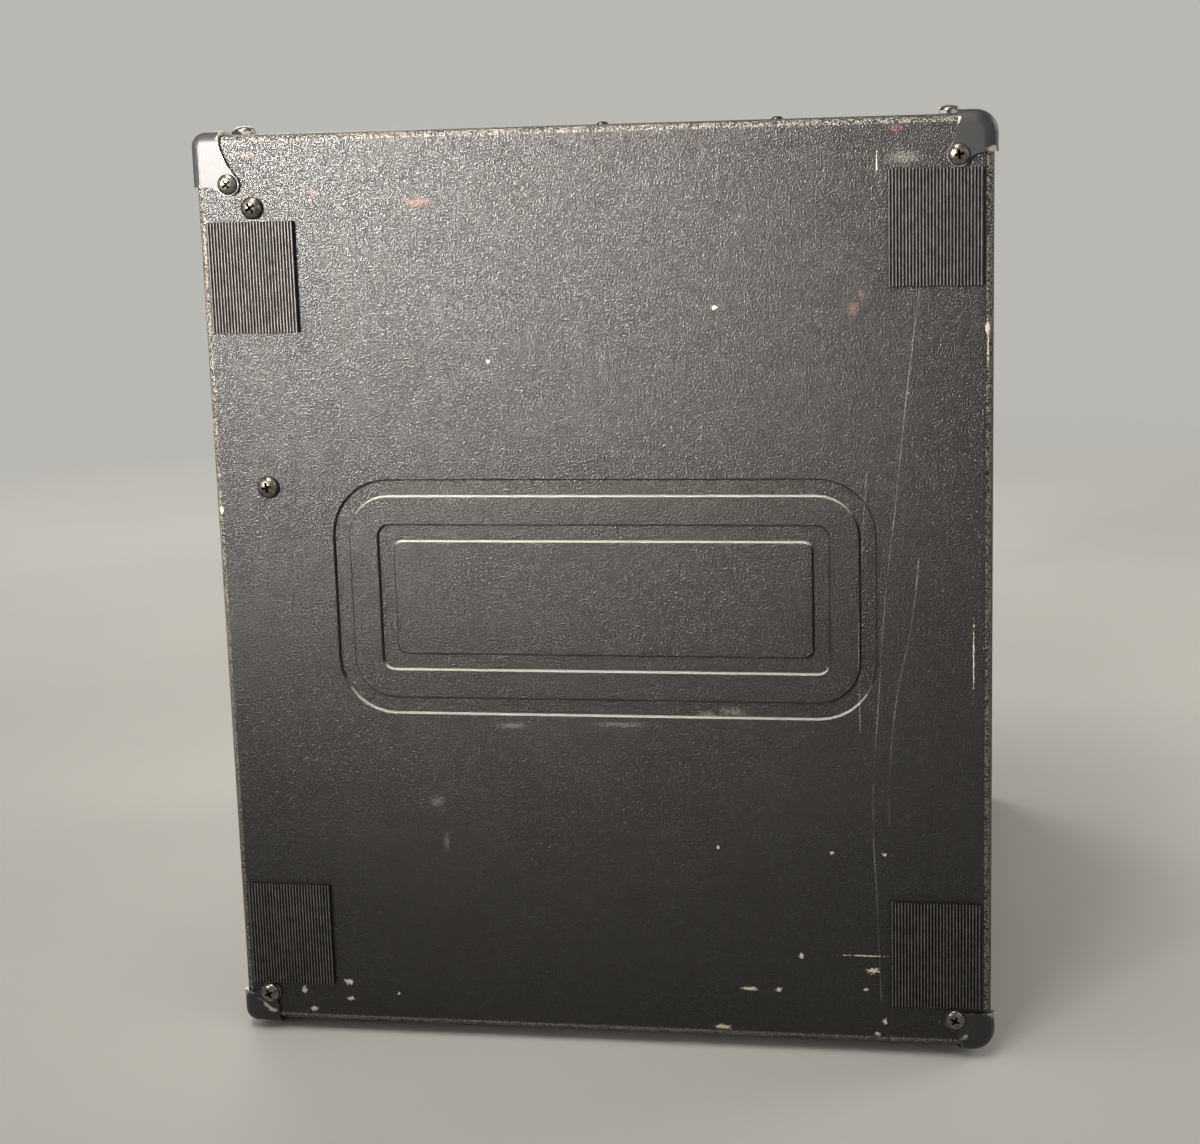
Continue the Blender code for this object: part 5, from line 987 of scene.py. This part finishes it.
# %% Route of the lead
LEAD_ROUTE = [Vector(place) for place in (
    (0, -110.0, 323.3), (0, -98.0, 323.3), (-5, -62.5, 312.0), (-10, -27.0, 300.6), (-15, 8.5, 289.3),
    (-20, 44.0, 278.0), (-20, 50.0, 266.0), (-20, 50.0, 248.0))]


def smooth_route(points, steps):
    """A curve through the points of a route."""
    padded = [points[0] * 2 - points[1], *points, points[-1] * 2 - points[-2]]
    smooth = []
    for a, b, c, d in zip(padded, padded[1:], padded[2:], padded[3:]):
        for t in (step / steps for step in range(steps)):
            smooth.append(0.5 * (2 * b + (c - a) * t + (2 * a - 5 * b + 4 * c - d) * t ** 2
                                 + (3 * b - a - 3 * c + d) * t ** 3))
    return smooth + [points[-1]]


# %% Two twisted wires
WIRE, TWIST = 1.1, 28.0
route = smooth_route(LEAD_ROUTE, 5)
lead = bmesh.new()
layer = lead.verts.layers.float.new("wire")
for number in (0, 1):
    along = (route[1] - route[0]).normalized()
    side = Vector((1, 0, 0))
    rings = []
    for step, place in enumerate(route):
        after = route[min(step + 1, len(route) - 1)] - route[max(step - 1, 0)]
        side = (along.rotation_difference(after.normalized()) @ side).normalized()
        along = after.normalized()
        turn = Matrix.Rotation(math.radians(TWIST * step + 180 * number), 3, along)
        centre = place + turn @ side * WIRE
        across = along.cross(side)
        ring = [lead.verts.new(centre + WIRE * 0.97 * (math.cos(a) * side + math.sin(a) * across))
                for a in (math.tau * n / 10 for n in range(10))]
        for vert in ring:
            vert[layer] = float(number)
        rings.append([lead.edges.new(pair) for pair in zip(ring, ring[1:] + ring[:1])])
        if step in (0, len(route) - 1):
            lead.faces.new(ring)
    for first, second in zip(rings, rings[1:]):
        bmesh.ops.bridge_loops(lead, edges=first + second)
lead = piece("twisted_speaker_lead", lead, pvc, stands_for=["speaker_lead"])

# %% [markdown]
# ## Control panel
# The panel is sheet steel under the opening in the top board, punched for seven shafts, four buttons,
# two jacks and two lamps. Its print is white ink: eleven strokes round each knob, and the numbers 0, 5
# and 10. A text object makes the numbers, and it becomes a mesh before it is put in its place.

# %% Panel with its holes
PANEL, KNOB_ROW, BUTTON_ROW = 404.0, 83.0, 115.0
KNOBS = {name: (n - 3) * 32.0 for n, name in enumerate(
    ("gain", "bass", "low_mid", "high_mid", "treble", "drive", "master"))}
BUTTONS = {"pad": -96.0, "mute": -64.0, "pre_post": 64.0, "ground_lift": 96.0}
LAMPS_ON_PANEL = {"power": (16.0, green_lens), "limit": (-16.0, red_lens)}
panel, holes = bmesh.new(), bmesh.new()
block(panel, (-165, 32, PANEL - 1.5), (165, 154, PANEL))
for x in KNOBS.values():
    drum(holes, (x, KNOB_ROW, 398), (x, KNOB_ROW, 410), 3.5)
for x in (-132, 132):
    drum(holes, (x, KNOB_ROW, 398), (x, KNOB_ROW, 410), 5.0)
for x in BUTTONS.values():
    block(holes, (x - 4.3, BUTTON_ROW - 4.3, 398), (x + 4.3, BUTTON_ROW + 4.3, 410))
for x, lens in LAMPS_ON_PANEL.values():
    drum(holes, (x, BUTTON_ROW, 398), (x, BUTTON_ROW, 410), 1.7, sides=24)
piece("punched_control_panel", carve(panel, holes), powder, stands_for=["control_panel"])
spots = [(x, y) for x in (-143, 143) for y in (54, 132)] + [(0, 132), (0, 54)]
screw_rows("panel_screws", small_screw, [(x, y, PANEL) for x, y in spots], UP, 0, 13)

# %% Printed scales
def printed(drawing, words, size, pose):
    """Characters in ink, a few hundredths of a millimetre thick, at a pose."""
    curve = bpy.data.curves.new("print", "FONT")
    curve.body = words
    curve.size = size
    curve.align_x, curve.align_y = "CENTER", "CENTER"
    curve.extrude = 0.02
    curve.resolution_u = 3
    flat = bpy.data.objects.new("print", curve)
    bpy.context.scene.collection.objects.link(flat)
    shape = flat.evaluated_get(bpy.context.evaluated_depsgraph_get())
    known = len(drawing.verts)
    drawing.from_mesh(shape.to_mesh())
    shape.to_mesh_clear()
    bpy.data.objects.remove(flat)
    bpy.data.curves.remove(curve)
    drawing.verts.ensure_lookup_table()
    bmesh.ops.transform(drawing, matrix=pose, verts=drawing.verts[known:])


scales = bmesh.new()
for x in KNOBS.values():
    for number in range(11):
        turn = math.radians(-150 + 30 * number)
        stroke = bmesh.new()
        block(stroke, (-0.22, 13.4, -0.02), (0.22, 15.2, 0.03))
        bmesh.ops.transform(stroke, verts=stroke.verts, matrix=Matrix.Translation((x, KNOB_ROW, PANEL))
                            @ Matrix.Rotation(-turn, 4, "Z"))
        scales.from_mesh(mesh_of(stroke))
        if number in (0, 5, 10):
            place = (x + 17.4 * math.sin(turn), KNOB_ROW + 17.4 * math.cos(turn), PANEL)
            printed(scales, str(number), 3.2, Matrix.Translation(place))
for reach in (0.0, 2.2):
    edge = Vector((reach, reach))
    rings = [[(a, b, PANEL + z) for a, b in rounded((-147 + r, 50 + r), (147 - r, 136 - r), 6.0 - r)]
             for r, z in ((reach, 0.0), (reach, 0.03), (reach + 0.4, 0.03), (reach + 0.4, 0.0))]
    hoop(scales, rings)
piece("printed_scales", scales, ink)
print("scales printed round", len(KNOBS), "knobs")

# %% Panel lamps
for name, (x, lens) in LAMPS_ON_PANEL.items():
    lamp = bmesh.new()
    dome = [(1.5 * math.cos(a), 0.6 + 1.1 * math.sin(a))
            for a in (math.radians(15 * n) for n in range(1, 6))]
    turned(lamp, [(0, -4), (1.5, -4), (1.5, 0.6), *dome, (0, 1.7)], (x, BUTTON_ROW, PANEL), UP, 24)
    piece(f"{name}_lamp_lens", lamp, lens)

# %% [markdown]
# ## Knobs, buttons and jacks
# A knob is moulded with 24 flutes for the fingers. Its outline has a shallow arc for each flute and is
# pulled up and drawn in a little towards the crown. A skirt below and a domed crown above are turned,
# and a white line runs over the crown and down the flank. It rides on the body that its joint turns.

# %% Knobs
FLUTES = 24
# One flute's outline: shares of the flute's angle, and radii
FLUTE = ((0.0, 9.35), (0.2, 9.5), (0.35, 9.85), (0.5, 9.95), (0.65, 9.85), (0.8, 9.5))


def knob(name, x):
    """A knob with its line, on the body of the same name."""
    base = Vector((x, KNOB_ROW, PANEL))
    made = bmesh.new()
    outline = []
    for flute in range(FLUTES):
        for share, radius in FLUTE:
            turn = math.tau * (flute + share) / FLUTES
            outline.append((radius * math.sin(turn), radius * math.cos(turn)))
    plate(made, outline, "XY", 2.3, 11.7)
    high = [v for v in made.verts if v.co.z > 5]
    bmesh.ops.scale(made, vec=(0.885, 0.885, 1), verts=high)
    bmesh.ops.translate(made, vec=base, verts=made.verts)
    turned(made, [(0, 0.5), (9.6, 0.5), (10, 0.9), (10, 2.0), (9.6, 2.5), (0, 2.5)], base, UP, 64)
    turned(made, [(0, 11.6), (8.75, 11.6), (8.7, 12.0), (8.3, 12.6), (7.5, 12.95), (6.6, 12.9), (0, 12.75)],
           base, UP, 64)
    turned(made, [(0, -5.5), (3, -5.5), (3, 0.6), (0, 0.6)], base, UP, 24)
    piece(f"fluted_knob_{name}", made, knob_plastic, body=f"knob_{name}", stands_for=[f"knob_{name}"])
    line = bmesh.new()
    block(line, (-0.55, 2.0, 12.3), (0.55, 8.2, 12.98), 0.05, 1)
    block(line, (-0.55, 8.6, 2.8), (0.55, 10.0, 12.3))
    for vert in line.verts:
        if vert.co.z > 12.2 and vert.co.y > 8.5:
            vert.co.y -= 1.15
    bmesh.ops.translate(line, vec=base, verts=line.verts)
    piece(f"knob_line_{name}", line, ink, body=f"knob_{name}")


for name, x in KNOBS.items():
    knob(name, x)

# %% Buttons
for name, x in BUTTONS.items():
    button = bmesh.new()
    block(button, (x - 4, BUTTON_ROW - 4, 401.2), (x + 4, BUTTON_ROW + 4, PANEL + 4), 0.7, 3)
    block(button, (x - 5, BUTTON_ROW - 5, 400.2), (x + 5, BUTTON_ROW + 5, 402.2), 0.2, 1)
    top = max(button.faces, key=lambda face: face.calc_center_median().z)
    bmesh.ops.inset_individual(button, faces=[top], thickness=0.9, depth=-0.35)
    piece(f"square_button_{name}", button, button_plastic, body=f"button_{name}",
          stands_for=[f"button_{name}"])


# %% Jacks, each with a washer, a hexagonal nut and a bush
def jack(name, place, direction):
    """A jack's metal front and its moulded body, at a place on a panel that faces a direction."""
    nut, drill = bmesh.new(), bmesh.new()
    plate(nut, arc((0, 0), 6.5, 0, 300, 5), "XY", 0.9, 2.6)
    drum(drill, (0, 0, -5), (0, 0, 5), 4.4)
    nut = carve(nut, drill)
    soften(nut, 0.2, segments=2)
    turned(nut, [(4.4, 0.3), (6.4, 0.3), (6.5, 0.5), (6.4, 0.85), (4.4, 0.85), (4.4, 0.3)], (0, 0, 0))
    turned(nut, [(3.3, -1.8), (4.5, -1.8), (4.5, 2.4), (4.1, 2.8), (3.7, 2.8), (3.3, 2.4), (3.3, -1.8)],
           (0, 0, 0))
    bmesh.ops.transform(nut, matrix=facing(place, direction), verts=nut.verts)
    piece(f"{name}_nut", nut, nickel, stands_for=[name])
    body = bmesh.new()
    turned(body, [(0, -24), (3.3, -24), (3.3, -1.8), (8.4, -1.8), (9, -2.4), (9, -25.4), (8.4, -26),
                  (0, -26)], place, direction, 40)
    piece(f"{name}_body", body, plastic, stands_for=[name])


jack("input_jack", (-132, KNOB_ROW, PANEL), UP)
jack("headphone_jack", (132, KNOB_ROW, PANEL), UP)

# %% [markdown]
# ## Carrying handle
# The handle lies in a moulded dish let into the top board and folds up on a steel pin. The dish is a
# chain of rounded rectangles from its floor up the wall, over the flange and down outside. The grip is
# two flat legs and a bar, and fine rings round the bar stop it slipping in the hand.

# %% Dish
DISH, DISH_FLANGE = Vector((0, -30)), 421.1
# Half the length, half the width, the corner radius and the level of each rounded rectangle
chain = [(67, 33, 4, 391.3), (68.6, 34.6, 5, 391.7), (69.6, 35.6, 6, 392.8), (70, 36, 6, 394.4),
         (70, 36, 6, 419.9), (70.3, 36.3, 6.3, 420.6), (71.2, 37.2, 7, DISH_FLANGE),
         (81.3, 47.3, 7.4, DISH_FLANGE), (81.8, 47.8, 7.8, 420.8), (82, 48, 8, 420.3), (82, 48, 8, 419.6),
         (72, 38, 7, 419.6), (72, 38, 7, 389.3)]
dish = bmesh.new()
hoop(dish, [[(a, b, z) for a, b in rounded(DISH - Vector((x, y)), DISH + Vector((x, y)), radius)]
            for x, y, radius, z in chain], capped=True)
piece("moulded_handle_dish", dish, plastic, stands_for=["handle_dish"])
places = [(x, y, DISH_FLANGE) for x in (-76.6, 0, 76.6) for y in (-72.6, 12.6)]
screw_rows("dish_screws", small_screw, places, UP, 11, 29)

# %% Grip
PIVOT = Vector((0, -6.0, 411.3))
grip, drill = bmesh.new(), bmesh.new()
leg = arc((0, 0), 6.0, -90, 90, 14) + arc((-44, 0), 6.0, 90, 270, 14)
for low in (-69.0, 61.0):
    plate(grip, [(PIVOT.y + a, PIVOT.z + b) for a, b in leg], "YZ", low, low + 8)
drum(drill, PIVOT - Vector((80, 0, 0)), PIVOT + Vector((80, 0, 0)), 2.8)
grip = carve(grip, drill)
soften(grip, 1.2, angle=60, segments=4)
rings = []
for number in range(46):
    level = (number - 22.5) * 2.2
    rings += [(5.95, level - 0.75), (5.95, level + 0.25), (5.6, level + 0.5), (5.6, level + 1.2)]
turned(grip, [(0, -62), (5.7, -62), (5.7, -54)] + rings + [(5.7, 54), (5.7, 62), (0, 62)],
       PIVOT + Vector((0, -44, 0)), (1, 0, 0), 40)
piece("ringed_handle_grip", grip, grip_rubber, body="grip", stands_for=["handle_grip"])

# %% [markdown]
# ## Rear
# The lower rear is a screwed board in the same spatter coat, with two flared ports. The upper rear is
# the amplifier's steel plate. Its sockets are pressed or moulded parts, so each is built from turned
# and cut shapes. The rocker carries the usual signs for on and off.

# %% Back board and its screws
board_out, holes = bmesh.new(), bmesh.new()
block(board_out, (-184.7, 151, 20.6), (184.7, REAR_PLATE, 229.0), 1.4, 3)
for x in (-PORT_X, PORT_X):
    drum(holes, (x, 140, PORT_Z), (x, 170, PORT_Z), 36.8, sides=96)
piece("coated_back_board", carve(board_out, holes), spatter, stands_for=["back_board"])
spots = [(x, z) for x in (-177, 177) for z in (30, 125, 221)]
spots += [(-60, 28), (60, 28), (-90, 221), (0, 221), (90, 221)]
screw_rows("back_board_screws", corner_screw, [(x, REAR_PLATE, z) for x, z in spots], BACK, 17, 41)

# %% Ports
for side in ("left", "right"):
    port = bmesh.new()
    flare = [(42 - 8 * math.sin(a), 3 - 8 * (1 - math.cos(a))) for a in
             (math.radians(90 - 9 * n) for n in range(11))]
    turned(port, [(43.6, 3.0), (44.3, 2.6), (44.5, 2.0), (44.5, 0.3), (36.5, 0.3), (36.5, -89.2),
                  (35.8, -90), (34.6, -90), (34, -89.4), *flare, (43.6, 3.0)],
           (SIGNS[side] * PORT_X, REAR_PLATE, PORT_Z), BACK, 96)
    name = f"port_tube_{side}"
    piece(f"flared_{name}", port, plastic, stands_for=[name])

# %% Screws of the chassis, its fan and its inlet
INLET = Vector((140, 166.3, 304.3))
spots = [(x, z) for x in (-177, 177) for z in (240, 317, 395)]
spots += [(-90, 395), (0, 395), (90, 395), (-20, 240), (90, 240)]
spots += [(50 + a, 307.3 + b) for a in (-25, 25) for b in (-25, 25)]
beside_inlet = [(INLET + Vector((a, 0, -13)), BACK, 60 + a) for a in (-19, 19)]
screw_rows("chassis_plate_screws", small_screw, [(x, REAR_PLATE, z) for x, z in spots], BACK, 23, 37,
           beside_inlet)

# %% Sockets
jack("speaker_socket", (-60, REAR_PLATE, 279.3), BACK)
DI = Vector((-115, REAR_PLATE, 304.3))
cup = bmesh.new()
turned(cup, [(0, -15), (9, -15), (9, 1.8), (9.2, 2.3), (9.7, 2.5), (12.8, 2.5), (13.3, 2.3), (13.5, 1.8),
             (13.5, 0.3), (10.5, 0.3), (10.5, -18), (0, -18)], DI, BACK, 72)
piece("die_cast_di_socket", cup, zinc, stands_for=["di_socket"])
insert = bmesh.new()
turned(insert, [(0, -12), (8.3, -12), (8.7, -12.4), (8.7, -14.9), (0, -14.9)], DI, BACK, 48)
block(insert, DI + Vector((-1.6, -13, -8.9)), DI + Vector((1.6, -3, -7.2)), 0.3)
piece("di_socket_insert", insert, plastic, stands_for=["di_socket"])
pins = bmesh.new()
for angle in (90, 210, 330):
    out = Vector((3.7 * math.cos(math.radians(angle)), 0, 3.7 * math.sin(math.radians(angle))))
    turned(pins, [(0, -14.8), (1.2, -14.8), (1.2, -2.8), (0.9, -2.2), (0, -2.0)], DI + out, BACK, 16)
piece("di_socket_pins", pins, nickel, stands_for=["di_socket"])

# %% Mains inlet
body, recess = bmesh.new(), bmesh.new()
block(body, INLET + Vector((-25, -3, -32)), INLET + Vector((25, 0, 32)), 1.2, 3)
rear_part = bmesh.new()
block(rear_part, INLET + Vector((-22.7, -27, -29.7)), INLET + Vector((22.7, -1, 29.7)), 1.0)
body = carve(body, rear_part, operation="UNION")
plate(recess, rounded((127, 281.8), (153, 300.8), (1.0, 1.0, 5.0, 5.0), 1), "XZ", 151.3, 175)
block(recess, (129, 154.3, 314.5), (151, 175, 328.1))
body = carve(body, recess)
soften(body, 0.25, angle=70, segments=2)
piece("moulded_mains_inlet", body, plastic, stands_for=["mains_inlet"])
pins = bmesh.new()
for x, z in ((-7, 0), (7, 0), (0, 4)):
    block(pins, (139 + x, 150.5, 289.3 + z), (141 + x, 164.3, 293.3 + z), 0.35)
piece("mains_inlet_pins", pins, nickel, stands_for=["mains_inlet"])

# %% Rocker with its signs
AXIS, TILT = Vector((140, 164.3, 321.3)), Matrix.Rotation(math.radians(10), 4, "Z")
rocker = bmesh.new()
crown = [(10 - 2 * n, 2.2 + 1.2 * math.sin(math.pi * n / 10)) for n in range(11)]
plate(rocker, [(-10, -0.8), (-6, -6), (6, -6), (10, -0.8)] + crown, "XY", -6.5, 6.5)
soften(rocker, 0.5, angle=45)
bmesh.ops.transform(rocker, matrix=Matrix.Translation(AXIS) @ TILT, verts=rocker.verts)
piece("curved_power_rocker", rocker, plastic, body="rocker", stands_for=["power_rocker"])
signs = bmesh.new()
for words, x, lean in (("I", 5.2, -10), ("O", -5.2, 10)):
    on_crown = Matrix.Translation((x, 3.4, 0)) @ Matrix.Rotation(math.radians(lean), 4, "Z")
    deep = facing((0, 0, 0), BACK) @ Matrix.Diagonal((1, 1, 9, 1))
    printed(signs, words, 5.5, Matrix.Translation(AXIS) @ TILT @ on_crown @ deep)
piece("rocker_signs", signs, ink, body="rocker")

# %% [markdown]
# ## Floor, light and camera
# The photograph shows the left side nearly square on, from a little below the cabinet's top. Six area
# lamps light it. The key at the upper rear makes the sheen that fades down the side, and a faint one
# grazes the upper edge. A fill comes from the front left, and weaker light from above, the back and the
# front keeps the other sides readable. A pale floor takes the shadow and fades into the backdrop.

# %% World and floor
BACKDROP = "#bab8b3"
world = bpy.data.worlds.new("studio")
bpy.context.scene.world = world
world.use_nodes = True
world.node_tree.nodes.clear()


def seen_rays(tree):
    """One where a camera, glossy or transmission ray looks, and zero for the light on the object."""
    rays = add(tree, "LightPath").outputs
    seen = add(tree, "Math", {0: rays["Is Camera Ray"], 1: rays["Is Glossy Ray"]}, operation="MAXIMUM")
    return add(tree, "Math", {0: seen, 1: rays["Is Transmission Ray"]}, operation="MAXIMUM")


strength = add(world, "MapRange", {"Value": seen_rays(world), "To Min": 0.85, "To Max": 1.0})
sky = add(world, "Background", {"Color": BACKDROP, "Strength": strength})
add(world, "OutputWorld", {"Surface": sky})

paper, shader, where = new_finish("matt_paper_backdrop", "#b8b6b1", 0.9)
mottle = add(paper, "TexNoise", {"Vector": where, "Scale": 3.0, "Detail": 3.0})
feed(shader, {"Base Color": add(paper, "ValToRGB", {"Fac": mottle}, [(0.3, "#b5b3ae"), (0.7, "#bbb9b4")])})
far = add(paper, "VectorMath", {0: where}, operation="LENGTH")
fade = add(paper, "MapRange", {"Value": far, "From Min": 0.7, "From Max": 2.4},
           interpolation_type="SMOOTHSTEP")
fade = add(paper, "Math", {0: fade, 1: seen_rays(paper)}, operation="MULTIPLY")
glow = add(paper, "Emission", {"Color": BACKDROP, "Strength": 1.0})
mixed = add(paper, "MixShader", {0: fade, 1: shader, 2: glow})
feed(paper.node_tree.nodes["Material Output"], {"Surface": mixed})
drawing = bmesh.new()
bmesh.ops.create_grid(drawing, x_segments=2, y_segments=2, size=60.0)
mesh = bpy.data.meshes.new("floor")
drawing.to_mesh(mesh)
drawing.free()
mesh.materials.append(paper)
floor = bpy.data.objects.new("floor", mesh)
bpy.context.scene.collection.objects.link(floor)

# %% Lamps
# Each lamp's place, what it points at, its size, its power in watts and its spread in degrees
LAMPS = {
    "key": ((-1.12, 0.60, 0.62), (-0.2, 0.13, 0.46), 0.4, 3.8, 32),
    "edge": ((-0.75, 0.15, 1.12), (-0.2, 0.08, 0.42), 0.35, 0.5, 45),
    "fill": ((-1.3, -1.4, 0.9), (-0.1, 0.0, 0.2), 0.8, 2.5, 180),
    "top": ((-0.4, 0.2, 1.8), (0.0, 0.0, 0.2), 0.8, 10.0, 180),
    "back": ((1.6, 1.0, 1.1), (0.1, 0.0, 0.2), 1.0, 14.0, 180),
    "front": ((0.9, -1.7, 1.0), (0.1, -0.1, 0.2), 1.0, 14.0, 180),
}
for name, (place, aim, size, power, spread) in LAMPS.items():
    data = bpy.data.lights.new(name, "AREA")
    data.size = size
    data.energy = power
    data.spread = math.radians(spread)
    data.color = colour("#fffaf4")[:3]
    lamp = bpy.data.objects.new(name, data)
    lamp.location = place
    lamp.rotation_euler = (Vector(aim) - Vector(place)).to_track_quat("-Z", "Y").to_euler()
    lamp.visible_camera = False
    bpy.context.scene.collection.objects.link(lamp)

# %% Camera
camera_data = bpy.data.cameras.new("camera")
camera_data.sensor_width = 36.0
camera_data.lens = 63.0
camera_data.shift_x = -0.03
camera_data.shift_y = -0.02
camera = bpy.data.objects.new("camera", camera_data)
camera.location = (-1.103, -0.1696, 0.4043)
camera.rotation_euler = [math.radians(a) for a in (79.495, 1.52, -80.811)]
bpy.context.scene.collection.objects.link(camera)
bpy.context.scene.camera = camera
bpy.context.scene.view_settings.view_transform = "Standard"
